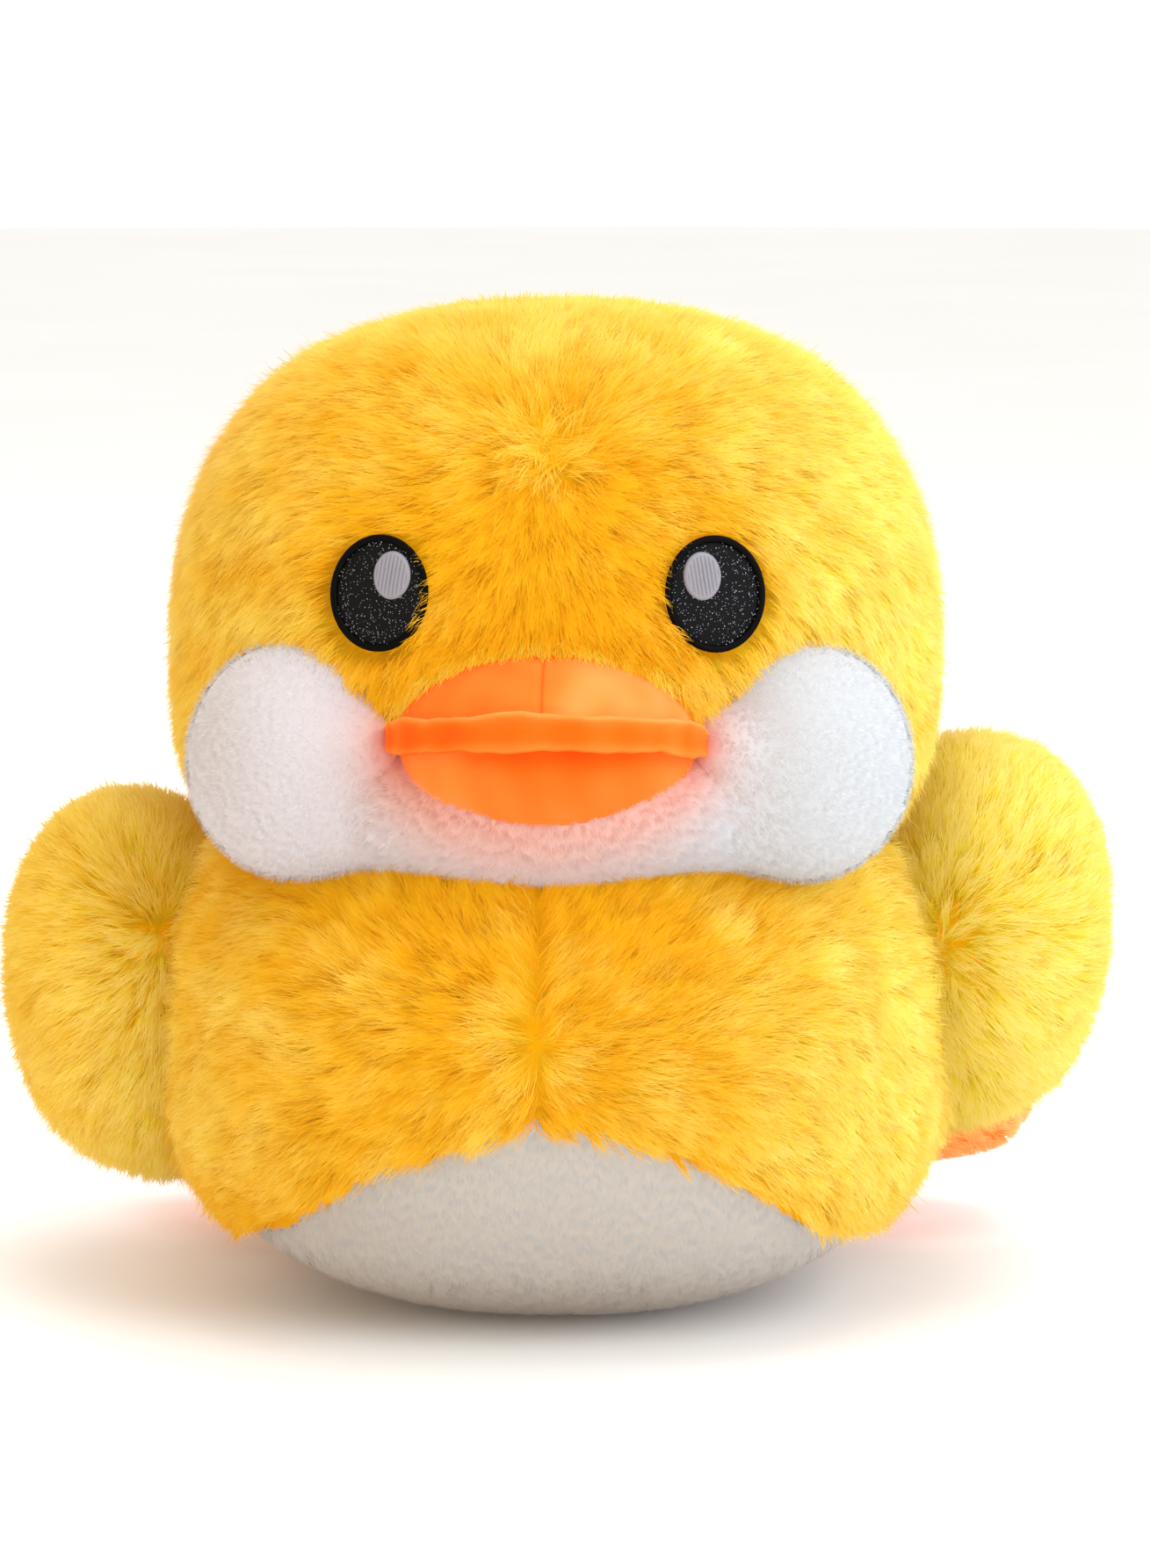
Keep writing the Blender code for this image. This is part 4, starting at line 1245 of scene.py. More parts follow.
def comb_head(bed):
    """Lays, shades and lifts the head's fur.

    It lies away from the whorl on the forehead. It is deeper down the middle of the face and paler
    on the crown, stands up beside the eyes and the bill, and lies flatter on top.
    """
    groom_from(bed, HEAD_WHORL, gravity=0.9, patch=55 * MM, seed=5)
    shade_bed(bed, 0.17, patch=24 * MM, seed=6)
    # Painted light: paler towards the sides, and more on the side of the key light.
    bed.shades += sides_and_painted_light(bed.points)
    above = bed.points[:, 2] - HEAD_WHORL[2]
    middle = near(np.abs(bed.points[:, 0]), 50 * MM)
    low = smooth(-above, -10 * MM, 45 * MM) * (bed.points[:, 1] < 0)
    bed.shades -= 0.45 * middle * low
    bed.shades += 0.25 * smooth(above, 0, 35 * MM)
    bed.lifts += 0.2 * near(eye_distance(bed.points), 5 * MM)
    bed.lifts += 0.35 * near(BILL_UPPER.beyond(bed.points), 7 * MM)
    bed.lifts -= 0.3 * smooth(bed.points[:, 2], 312 * MM, 336 * MM)


def make_head_fur(settings):
    """The head: a backing round its stuffing, and four layers of pile on each panel."""
    rng = np.random.default_rng(11)

    def shape(points, _normals):
        """Closes the backing flat, just above the neck seam."""
        points[:, 2] = np.maximum(points[:, 2], NECK + 0.3 * MM)
        return points

    skin = stuffed(
        "head_backing", HEAD, settings.pile_depth, MATERIALS["backing"], shape=shape, swell=fill_neck
    )
    settle(
        skin,
        "head",
        ("head_left_panel", "head_right_panel", "head_back_panel", "head_stuffing"),
    )
    for layer in LAYERS:
        bed = head_bed(layer, settings, rng)
        comb_head(bed)
        bed.shades += layer.shade
        for name, part in quarters(bed, EAR_SEAM_BACK, "head", "head_back"):
            grow_layer(name, part, layer, settings, rng, "head", mask=clear_of_eyes)


def make_bill_fringe(settings):
    """The longest strands of the head's fur, which hang over the upper edge of the bill."""
    rng = np.random.default_rng(19)
    bed = Bed(HEAD, settings.pile_depth - 2 * MM, 1.7 * MM, rng, (192, 96))
    beyond = BILL_UPPER.beyond(bed.points)
    bed.keep((bed.points[:, 1] < 0) & (beyond > 0.3 * MM) & (beyond < 4.5 * MM))
    bed.keep(bed.points[:, 2] > BILL_PLACE[2] + 13 * MM)
    bed.grooms = flatten(np.broadcast_to((0, 0, -1.0), bed.points.shape), bed.normals)
    aside = flatten(bed.points - BILL_UPPER.centre, bed.normals) * (0.25, 0, 0)
    bed.grooms = flatten(bed.grooms + aside, bed.normals)
    shade_bed(bed, 0.35, patch=10 * MM, seed=20)
    # Painted light: paler towards the sides, and more on the side of the key light.
    bed.shades += sides_and_painted_light(bed.points)
    pile = Pile(15.5 * MM, 16.8 * MM, 4, settings.fibre_width * 0.6, 1.4 * MM, unrest=22, strays=0.1)
    piece = grow("head_bill_fringe", bed, pile, rng, MATERIALS["fur"])
    settle(lit_through(piece), "head")


BODY_MIDDLE = -3 * MM
BODY_WHORL = (BODY_MIDDLE, -128 * MM, 110 * MM)


def comb_body(bed):
    """Lays and shades the body's fur.

    It lies away from a whorl on the chest and parts along the middle seam. Behind the side seams it
    falls to the floor. It is painted deeper as shade in the creases of those seams, low down near the
    floor and just under the chin, in the head's shadow.
    """
    groom_from(bed, BODY_WHORL, gravity=0.5, patch=45 * MM, seed=7)
    outward = np.sign(bed.points[:, :1] - BODY_MIDDLE)
    parting = near(np.abs(bed.points[:, :1] - BODY_MIDDLE), 14 * MM)
    chest = flatten(bed.grooms + outward * parting * np.array((0.9, 0, 0)), bed.normals)
    fall = np.hstack((0.35 * outward, np.full_like(outward, 0.25), -np.ones_like(outward)))
    back = flatten(fall, bed.normals)
    turn = smooth(bed.points[:, 1], -70 * MM, 10 * MM)[:, None]
    bed.grooms = flatten(chest * (1 - turn) + back * turn, bed.normals)
    shade_bed(bed, 0.08, patch=22 * MM, seed=8, amount=0.2)
    # Painted light: paler towards the sides, and more on the side of the key light.
    bed.shades += sides_and_painted_light(bed.points)
    # Painted shade in the side seams' creases and low down near the floor, and the head's painted shadow
    # just under the chin.
    bed.shades -= 0.4 * side_seam(bed.points)
    bed.shades -= 0.3 * (1 - smooth(bed.points[:, 2], 35 * MM, 75 * MM))
    high = smooth(bed.points[:, 2], 100 * MM, 155 * MM) * (bed.points[:, 1] < -40 * MM)
    bed.shades -= 0.2 * high


def make_body_fur(settings):
    """The body above the belly: a backing, and four layers of pile on each panel."""
    rng = np.random.default_rng(12)

    def shape(points, _normals):
        """Closes the backing flat, under the head and just above the floor."""
        under_head = HEAD.beyond(np.stack((*points.T[:2], np.maximum(points[:, 2], NECK)), axis=1)) < 0
        top = np.where(under_head, NECK - 0.3 * MM, NECK + 9 * MM)
        points[:, 2] = np.clip(points[:, 2], 4 * MM, top)
        return points

    skin = stuffed(
        "body_backing", BODY, settings.pile_depth, MATERIALS["backing"], shape=shape, swell=fill_body
    )
    settle(
        skin,
        "body",
        (
            "chest_left_panel",
            "chest_right_panel",
            "back_left_panel",
            "back_right_panel",
            "body_stuffing",
        ),
    )
    for layer in LAYERS:
        bed = Bed(BODY, settings.pile_depth, settings.tuft_spacing * layer.spacing, rng, swell=fill_body)
        bed.keep((bed.points[:, 2] < NECK - 1 * MM) | (HEAD.beyond(bed.points) > -2 * MM))
        overhang = (2 + 6 * smooth(np.abs(bed.points[:, 0]), 30 * MM, 90 * MM)) * MM
        bed.keep(bed.points[:, 2] > border_height(bed.points) + overhang)
        comb_body(bed)
        bed.shades += layer.shade
        for name, part in quarters(bed, -SIDE_SEAM_FORWARD, "chest", "back"):
            grow_layer(name, part, layer, settings, rng, "body", floor=1 * MM)


WING_WHORL_RISE = {"left": 33 * MM, "right": 2 * MM}
WING_LINING = -1.5 * MM


def comb_wing(bed, side, sign):
    """Lays the wing's fur away from a whorl at its root. It is a little deeper round the whorl, painted
    paler on its inner side, which the body shades, and deeper on its outer part.
    """
    hinge = np.array(JOINTS[f"wing_{side}_swing"]["pos_m"])
    whorl = hinge + (-sign * 7 * MM, -6 * MM, WING_WHORL_RISE[side])
    groom_from(bed, whorl, gravity=0.35, patch=40 * MM, seed=9 + sign)
    shade_bed(bed, 0.4, patch=20 * MM, seed=10 + sign, amount=0.06)
    # Painted light: paler towards the sides, and more on the side of the key light.
    bed.shades += sides_and_painted_light(bed.points)
    bed.shades -= 0.15 * near(np.linalg.norm(bed.points - whorl, axis=1), 30 * MM)
    # Painted light against the body's shadow: paler on the inner side, deeper further out.
    bed.shades += 0.3 - 0.5 * smooth(np.abs(bed.points[:, 0]), 110 * MM, 175 * MM)


def make_wing_fur(side, sign, settings):
    """A wing: a backing that hugs the body, and four layers of pile."""
    rng = np.random.default_rng(13 + sign)
    form = WINGS[side]
    body = f"wing_{side}"

    def shape(points, _normals):
        """Moves the backing's inner side out of the body, in steps of a millimetre."""
        for _ in range(30):
            inside = BODY.beyond(points) < WING_LINING
            points[inside, 0] += sign * 1 * MM
        return points

    skin = stuffed(
        f"wing_{side}_backing",
        form,
        settings.pile_depth,
        MATERIALS["backing"],
        shape=shape,
        swell=fill_wing,
    )
    settle(
        skin,
        body,
        (f"wing_{side}_outer_panel", f"wing_{side}_inner_panel", f"wing_{side}_stuffing"),
    )
    for layer in LAYERS:
        bed = Bed(form, settings.pile_depth, settings.tuft_spacing * layer.spacing, rng, swell=fill_wing)
        bed.keep(BODY.beyond(bed.points) > WING_LINING)
        comb_wing(bed, side, sign)
        bed.shades += layer.shade
        grow_layer(
            f"wing_{side}",
            bed,
            layer,
            settings,
            rng,
            body,
            mask=lambda lines: BODY.beyond(lines[:, -1]) > -3 * MM,
        )


def make_tail_fur(settings):
    """The tail: a backing, and four layers of pile that point to its tip."""
    rng = np.random.default_rng(17)
    skin = stuffed("tail_backing", TAIL, settings.pile_depth, MATERIALS["backing"], grid=(64, 32))
    settle(skin, "body", ("tail_skin", "tail_stuffing"))
    tip = TAIL.turn @ np.array((0, 1.0, 0))
    for layer in LAYERS:
        bed = Bed(TAIL, settings.pile_depth, settings.tuft_spacing * 0.85, rng)
        bed.keep(BODY.beyond(bed.points) > -2 * MM)
        bed.grooms = flatten(np.broadcast_to(tip, bed.points.shape) + (0, 0, -0.3), bed.normals)
        shade_bed(bed, 0.5 + layer.shade, patch=18 * MM, seed=18)
        grow_layer("tail", bed, layer, settings, rng, "body")


def short_pile(settings, count, width):
    """White pile that stands nearly upright."""
    return Pile(
        settings.short_depth,
        settings.short_depth * 1.5,
        count,
        width,
        settings.short_spacing * 0.7,
        tips_apart=0.9,
        unrest=18,
        facing=0.0,
        fleck=0.03,
    )


def painted_bill_light(points):
    """How near a point of the white pile lies to the bill, from 0 to 1, for the bill's orange light
    painted on it.
    """
    return near(np.minimum(BILL_LOWER.beyond(points), BILL_UPPER.beyond(points)), 13 * MM)


def white_tone(points):
    """How white the short pile looks. It is painted light: warm with the bill's light beside the bill,
    and whitest on the lit side.
    """
    return 0.97 - 0.8 * painted_bill_light(points) - 0.15 * smooth(-points[:, 0], -20 * MM, 60 * MM)


def make_cheeks(settings):
    """Each cheek: a firm puff, short flat pile, and fuzz that softens its edge."""
    rng = np.random.default_rng(21)
    inset = settings.short_depth * 0.4
    swell = fill_between((CHIN,))
    pile = short_pile(settings, 10, 0.15 * MM)
    pile = replace(pile, depth=pile.depth * 0.4, length=pile.length * 0.55, strays=0.0)
    fuzz = Pile(2.6 * MM, 2.9 * MM, 3, 0.09 * MM, 1 * MM, unrest=40, facing=0.0, fleck=0.03)
    for side, sign in SIDES:
        form = CHEEKS[side]
        skin = stuffed(
            f"cheek_{side}_puff",
            form,
            inset,
            MATERIALS["white_backing"],
            swell=swell,
            tone=white_tone,
        )
        nodes = (f"cheek_{side}_skin", f"cheek_{side}_stuffing")
        settle(skin, "head", nodes)
        bed = Bed(form, inset, settings.short_spacing, rng, (96, 48), swell)
        bed.keep(HEAD.beyond(bed.points) > -8 * MM)
        bed.keep(BILL_UPPER.beyond(bed.points) > -2 * MM)
        bed.grooms = flatten(np.broadcast_to((1.0 * sign, -0.2, -0.35), bed.points.shape), bed.normals)
        bed.shades = white_tone(bed.points)
        for name, kind in (("pile", pile), ("fuzz", fuzz)):
            material = MATERIALS[f"white_{name}"]
            piece = grow(f"cheek_{side}_{name}", bed, kind, rng, material, short=True)
            settle(lit_through(piece), "head")


def make_chin(settings):
    """The chin band: a backing between the cheeks, short pile that falls from the bill, and fuzz."""
    rng = np.random.default_rng(22)
    inset = settings.short_depth * 0.8
    swell = fill_between(CHEEKS.values())
    skin = stuffed(
        "chin_backing", CHIN, inset, MATERIALS["white_backing"], swell=swell, tone=white_tone
    )
    settle(skin, "head", ("chin_band",))
    bed = Bed(CHIN, inset, settings.short_spacing, rng, (96, 48), swell)
    bed.keep(HEAD.beyond(bed.points) > -4 * MM)
    for form in CHEEKS.values():
        bed.keep(form.beyond(bed.points) > -3 * MM)
    bed.keep(BILL_LOWER.beyond(bed.points) > -2 * MM)
    away = flatten(bed.points - BILL_LOWER.centre, bed.normals)
    bed.grooms = flatten(away + (0.0, -0.1, -0.6), bed.normals)
    bed.shades = white_tone(bed.points) - 0.06 + 0.05 * waves(bed.points, 7 * MM, 24)
    pile = short_pile(settings, 9, 0.15 * MM)
    fuzz = Pile(4 * MM, 5.5 * MM, 3, 0.1 * MM, 1.2 * MM, unrest=35, facing=0.0, fleck=0.04)
    for name, kind in (("pile", pile), ("fuzz", fuzz)):
        piece = grow(f"chin_{name}", bed, kind, rng, MATERIALS["white_pile"], short=True)
        settle(lit_through(piece), "head")


def belly_painted_shade(points):
    """Painted shade on the belly: browner under the body, near the floor, and on the side away from the
    light.
    """
    under = 1 - smooth(points[:, 2], 2 * MM, 38 * MM)
    return 1 - 0.75 * under - 0.15 * smooth(-points[:, 0], 30 * MM, 100 * MM)


def make_belly(settings):
    """The belly panel: a backing that closes inside the fur, and short pile in two halves."""
    rng = np.random.default_rng(23)
    inset = BELLY_STEP + settings.short_depth * 0.8

    def shape(points, _normals):
        """Closes the belly inside the fur, level with its edge."""
        edge = border_height(points) + 1 * MM
        over = points[:, 2] > edge
        share = (points[:, 2] - edge) / (BODY.centre[2] + BODY.high[2] - edge)
        narrow = BODY.spread_at(edge - BODY.centre[2], inset)
        narrow = narrow / BODY.spread_at(points[:, 2] - BODY.centre[2], inset) * (1 - share)
        points[:, :2] *= np.where(over, narrow, 1)[:, None]
        points[:, 2] = np.clip(points[:, 2], 0.3 * MM, edge)
        return points

    skin = stuffed(
        "belly_backing", BODY, inset, MATERIALS["belly_backing"], shape=shape, tone=belly_painted_shade
    )
    settle(skin, "body", ("belly_panel",))
    bed = Bed(BODY, inset, settings.short_spacing * 1.15, rng)
    bed.keep(bed.points[:, 2] < border_height(bed.points) + 2 * MM)
    bed.keep((bed.points[:, 2] > 3 * MM) & (bed.normals[:, 2] < 0.9))
    bed.grooms = flatten(np.broadcast_to((0.0, -0.1, -1.0), bed.points.shape), bed.normals)
    bed.shades = belly_painted_shade(bed.points)
    pile = short_pile(settings, 7, 0.2 * MM)
    pile.length *= 1.2
    for side, sign in SIDES:
        half = bed.part(bed.points[:, 0] * sign >= 0)
        material = MATERIALS["belly_pile"]
        piece = grow(f"belly_pile_{side}", half, pile, rng, material, floor=0.2 * MM, short=True)
        settle(lit_through(piece), "body")


BILL_SEAM_LEFT = 1 * MM
BILL_SEAM_STITCH = 4.5 * MM
# The painted shadow of the fur on the velour is deepest from this far inside the head's surface.
BILL_DEEP_INSIDE = 1 * MM


def upper_half_shape(points, normals):
    """Draws the upper half in along its middle seam, with a pucker at each stitch."""
    own = BILL_UPPER.to_own(points)
    line = np.abs(own[:, 0] + BILL_SEAM_LEFT)
    pucker = 0.5 + 0.5 * np.sin(own[:, 1] * 2 * math.pi / BILL_SEAM_STITCH)
    drop = 0.9 * MM * near(line, 0.7 * MM) + (0.5 + 0.25 * pucker) * MM * near(line, 5 * MM)
    drop -= 0.35 * MM * waves(points, 26 * MM, 31)
    own = BILL_UPPER.to_own(points - normals * drop[:, None])
    own[:, 2] = np.maximum(own[:, 2], 0.2 * MM)
    return own @ BILL_UPPER.turn.T + BILL_UPPER.centre


def upper_half_tone(points):
    """Paler on the lit side of the seam, as painted light, and deep where the fur hangs over the velour,
    as its painted shadow.
    """
    own = BILL_UPPER.to_own(points)
    tone = 0.55 + 0.32 * smooth(own[:, 0], -6 * MM, 16 * MM) + 0.06 * waves(points, 16 * MM, 37)
    return tone - 0.5 * near(BILL_DEEP_INSIDE + HEAD.beyond(points), 5 * MM)


def lower_half_shape(points, normals):
    """Fills the lower half out beside its middle, with a little unrest."""
    own = BILL_LOWER.to_own(points)
    full = 3 * MM * near(own[:, 2], 16 * MM) * smooth(np.abs(own[:, 0]), 18 * MM, 44 * MM)
    swell = full + 0.4 * MM * waves(points, 30 * MM, 32)
    own = BILL_LOWER.to_own(points + normals * swell[:, None])
    own[:, 2] = np.minimum(own[:, 2], -0.2 * MM)
    return own @ BILL_LOWER.turn.T + BILL_LOWER.centre


def lower_half_tone(points):
    """Paler at the sides and underneath, and deepest right under the lip, as the lip's painted shadow."""
    own = BILL_LOWER.to_own(points)
    outer = smooth(np.abs(own[:, 0] - 6 * MM), 12 * MM, 44 * MM)
    tone = 0.47 + 0.28 * outer + 0.2 * smooth(-own[:, 2], 12 * MM, 30 * MM)
    under_lip = near(np.abs(own[:, 2]) - 5 * MM, 5 * MM) * (1 - outer)
    return tone - 0.25 * under_lip + 0.05 * waves(points, 16 * MM, 38)


def make_bill_halves():
    """Two stuffed halves, the upper one with a middle seam."""
    upper = stuffed(
        "bill_upper_half",
        BILL_UPPER,
        0.2 * MM,
        MATERIALS["velour"],
        (288, 96, 0.75),
        upper_half_shape,
        tone=upper_half_tone,
    )
    settle(
        upper,
        "head",
        ("bill_upper_left_panel", "bill_upper_right_panel", "bill_upper_stuffing"),
    )
    lower = stuffed(
        "bill_lower_half",
        BILL_LOWER,
        0.2 * MM,
        MATERIALS["velour"],
        (192, 96),
        lower_half_shape,
        tone=lower_half_tone,
    )
    nodes = ("bill_lower_panel", "bill_lower_stuffing")
    settle(lower, "head", nodes)


def tube_quads(rings, around, closed=False):
    """The faces between rings of points. With closed, the last ring meets the first."""
    ring = np.arange(rings if closed else rings - 1)[:, None] * around
    after = (ring + around) % (rings * around)
    here = np.arange(around)
    beside = (here + 1) % around
    return np.stack((ring + here, after + here, after + beside, ring + beside), axis=2).reshape(-1, 4)


# The lip's section in mm, outward and up from its middle, and how pale the velour is at each point.
LIP_SECTION = (
    (-3.0, -4.6),
    (0.6, -5.5),
    (2.8, -5.6),
    (3.9, -4.8),
    (3.9, -3.6),
    (3.4, -2.0),
    (3.3, 0.0),
    (3.3, 2.2),
    (3.6, 3.9),
    (4.2, 5.1),
    (3.3, 6.0),
    (0.6, 6.0),
    (-3.0, 5.2),
)
# The underside of the lip is painted deep as shade, and its top pale as light from above. Its ridges are
# paler too.
LIP_TONES = (0.1, 0.15, 0.4, 0.62, 0.5, 0.36, 0.34, 0.38, 0.5, 0.8, 0.9, 0.6, 0.3)
LIP_RINGS = 201


def make_lip():
    """The lip, folded over between the halves: its section carried round the front of the bill.

    Its edges wander, it arches down towards its ends, and the ends close round.
    """
    share = np.sin(np.linspace(-math.pi / 2, math.pi / 2, LIP_RINGS))
    angle = share * LIP_SWEEP
    level = 0 * angle
    path = np.stack((LIP_HALF_WIDTH * np.sin(angle), -LIP_REACH * np.cos(angle), level), axis=1)
    outward = unit(np.stack((np.sin(angle) / LIP_HALF_WIDTH, -np.cos(angle) / LIP_REACH, level), axis=1))
    aside = np.sin(np.minimum(np.abs(angle), math.pi / 2))
    behind = np.maximum(np.abs(angle) - math.pi / 2, 0) / (LIP_SWEEP - math.pi / 2)
    ends = np.maximum(aside - 0.88, 0) / 0.13 + 0.077 * behind
    closing = np.sqrt(np.clip(1 - ends**2, 0.01, 1))
    wander_top = 0.8 * MM * waves(path, 24 * MM, 33) + 0.2 * MM * waves(path, 8 * MM, 34)
    wander_low = 0.6 * MM * waves(path, 26 * MM, 35) + 0.25 * MM * waves(path, 6 * MM, 36)
    arch = 1 * MM - 3 * MM * share**2 * np.where(share > 0, 1, 0.5)
    rows = []
    for depth, height in np.array(LIP_SECTION) * MM:
        wander = level
        if height > 2 * MM:
            wander = wander_top
        elif height < -2 * MM:
            wander = wander_low
        lift = height * closing + wander * closing + arch
        rise = np.stack((level, level, lift), axis=1)
        rows.append(path + outward * (depth * closing)[:, None] + rise)
    count = len(LIP_SECTION)
    points = np.stack(rows, axis=1).reshape(-1, 3)
    quads = tube_quads(LIP_RINGS, count)
    caps = np.concatenate((np.arange(count), (LIP_RINGS - 1) * count + np.arange(count)[::-1]))
    # Random unrest, paler ends, and painted light that makes the right end paler than the left.
    drift = 0.06 * waves(path, 12 * MM, 39) + 0.25 * smooth(np.abs(share), 0.7, 0.95) + 0.1 * share
    lip = mesh_from(
        "bill_lip_fold",
        points @ BILL_UPPER.turn.T + BILL_UPPER.centre,
        np.concatenate((quads.ravel(), caps)),
        np.concatenate((np.full(len(quads), 4), (count, count))),
        MATERIALS["velour"],
        tones=(np.array(LIP_TONES) + drift[:, None]).ravel(),
    )
    rounded = lip.modifiers.new("rounded", "SUBSURF")
    rounded.levels = rounded.render_levels = 1
    settle(lip, "head", ("bill_lip",))


EYE_RIM_HALVES = (1.2 * MM, 0.95 * MM)
RIM_STITCH = 0.36 * MM
FLAKES = 520
HIGHLIGHT_IN = 4.2 * MM
HIGHLIGHT_UP = 5.8 * MM
HIGHLIGHT_HALVES = (6.3 * MM, 7.8 * MM)
HIGHLIGHT_ROW = 1.3 * MM


def make_eyes():
    """Each eye: an oval of glitter cloth, loose flakes on it, a stitched rim and a highlight."""
    rng = np.random.default_rng(41)
    inner = np.array(EYE_HALVES) - EYE_RIM_HALVES[0]
    cloth = Form((0, 0, -1 * MM), (*inner, 1.2 * MM), (*inner, 1.6 * MM))
    faces = sphere_triangles(96, 32)
    for side, sign in SIDES:
        centre, turn = EYES[side]

        def to_world(points, centre=centre, turn=turn):
            return points @ turn.T + centre

        piece = mesh_from(
            f"eye_{side}_cloth",
            to_world(cloth.surface(sphere_ways(96, 32))),
            faces.ravel(),
            np.full(len(faces), 3),
            MATERIALS["glitter_cloth"],
        )
        settle(piece, "head", (f"eye_{side}_disc",))
        piece = glitter_flakes(f"eye_{side}_flakes", inner, rng, to_world)
        settle(piece, "head")
        piece = stitched_ring(f"eye_{side}_satin_rim", inner, to_world)
        settle(piece, "head", (f"eye_{side}_rim",))
        piece = satin_patch(f"eye_{side}_satin_highlight", sign, to_world)
        settle(piece, "head", (f"eye_{side}_highlight",))


def glitter_flakes(name, halves, rng, to_world):
    """Six-sided flakes that lie loose on the cloth's dome, each a little tilted."""
    angle = rng.uniform(0, 2 * math.pi, FLAKES)
    away = np.sqrt(rng.uniform(0, 0.93, FLAKES))
    height = 0.6 * MM * np.sqrt(1 - away**2) + 0.15 * MM
    spots = np.stack((away * np.cos(angle) * halves[0], away * np.sin(angle) * halves[1], height), axis=1)
    size = rng.uniform(0.08, 0.19, FLAKES) * MM
    tilt = unit(rng.normal(0, 0.22, (FLAKES, 3)) + (0, 0, 1))
    first = unit(np.cross(tilt, (0.3, 1, 0.2)))
    second = np.cross(tilt, first)
    corners = []
    for step in range(6):
        turn = step * math.pi / 3
        corners.append(spots + (first * math.cos(turn) + second * math.sin(turn)) * size[:, None])
    return mesh_from(
        name,
        to_world(np.stack(corners, axis=1).reshape(-1, 3)),
        np.arange(6 * FLAKES),
        np.full(FLAKES, 6),
        MATERIALS["flake"],
    )


def stitched_ring(name, halves, to_world):
    """An oval ring of satin stitches, each thread a ridge across it.

    A real thread is about 0.2 mm thick. It is drawn coarser here, so that it shows.
    """
    threads = int(2 * math.pi * math.hypot(*EYE_HALVES) / math.sqrt(2) / RIM_STITCH)
    steps, round_steps = threads * 3, 12
    angle = np.arange(steps) * 2 * math.pi / steps
    level = 0 * angle
    middle = np.stack((halves[0] * np.cos(angle), halves[1] * np.sin(angle), level), axis=1)
    outward = unit(np.stack((np.cos(angle) / halves[0], np.sin(angle) / halves[1], level), axis=1))
    ridge = np.array((1.0, 0.93, 0.93))[np.arange(steps) % 3]
    turn = np.arange(round_steps) * 2 * math.pi / round_steps
    across = np.cos(turn)[None, :, None] * outward[:, None, :] * EYE_RIM_HALVES[0]
    up = np.sin(turn)[None, :, None] * np.array((0, 0, EYE_RIM_HALVES[1]))
    points = middle[:, None, :] + (across + up) * ridge[:, None, None]
    quads = tube_quads(steps, round_steps, closed=True)
    return mesh_from(
        name,
        to_world(points.reshape(-1, 3)),
        quads.ravel(),
        np.full(len(quads), 4),
        MATERIALS["black_thread"],
    )


def satin_patch(name, sign, to_world):
    """An oval of satin stitches: rows that run nearly upright, inside a stitched border."""
    rings, around = 40, 160
    middle = (-sign * HIGHLIGHT_IN, HIGHLIGHT_UP)
    share = np.linspace(0, 1, rings + 1)[1:]
    angle = np.arange(around) * 2 * math.pi / around
    x = np.outer(share, np.cos(angle)) * HIGHLIGHT_HALVES[0]
    y = np.outer(share, np.sin(angle)) * HIGHLIGHT_HALVES[1]
    lean = 0.12 * sign
    row = np.abs(np.sin((x + lean * y) * math.pi / HIGHLIGHT_ROW))
    cross = np.abs(np.sin(np.broadcast_to(angle, x.shape) * 52))
    border = smooth(share, 0.80, 0.86)[:, None] * np.ones_like(x)
    dome = np.sqrt(np.clip(1 - (share[:, None] * 0.995) ** 6, 0, 1))
    height = (0.95 + 0.6 * row * (1 - border) + border * (0.5 + 0.15 * cross)) * MM * dome
    top = np.stack((x + middle[0], y + middle[1], height), axis=2).reshape(-1, 3)
    base = top[-around:] * (1, 1, 0)
    points = np.vstack(((*middle, 1.1 * MM), top, base, (*middle, 0)))
    here = np.arange(around)
    after = (here + 1) % around
    last = len(points) - 1
    faces = [
        np.stack((0 * here, 1 + here, 1 + after), axis=1),
        np.stack((last + 0 * here, last - around + after, last - around + here), axis=1),
    ]
    for ring in range(rings):
        low = 1 + ring * around
        below = low + around
        faces.append(np.stack((low + here, below + here, below + after, low + after), axis=1))
    corners = np.concatenate([part.ravel() for part in faces])
    sizes = np.concatenate((np.full(2 * around, 3), np.full(rings * around, 4)))
    return mesh_from(name, to_world(points), corners, sizes, MATERIALS["lilac_thread"])


# Where the grooves between the toes run: angles about the heel, in radians.
TOE_GROOVES = (-0.19, 0.19)


def foot_shape(form):
    """Draws a foot in along the grooves between its toes and along the seam round its edge."""

    def shape(points, normals):
        own = form.to_own(points)
        turn = np.arctan2(own[:, 1], own[:, 0] + FOOT_HALVES[0])
        along = smooth(own[:, 0], -8 * MM, 26 * MM)
        groove = sum(np.exp(-(((turn - at) / 0.035) ** 2)) for at in TOE_GROOVES)
        seam = np.exp(-((own[:, 2] / (0.8 * MM)) ** 2))
        drop = 1.4 * MM * groove * along + 0.7 * MM * seam
        return points - normals * drop[:, None]

    return shape


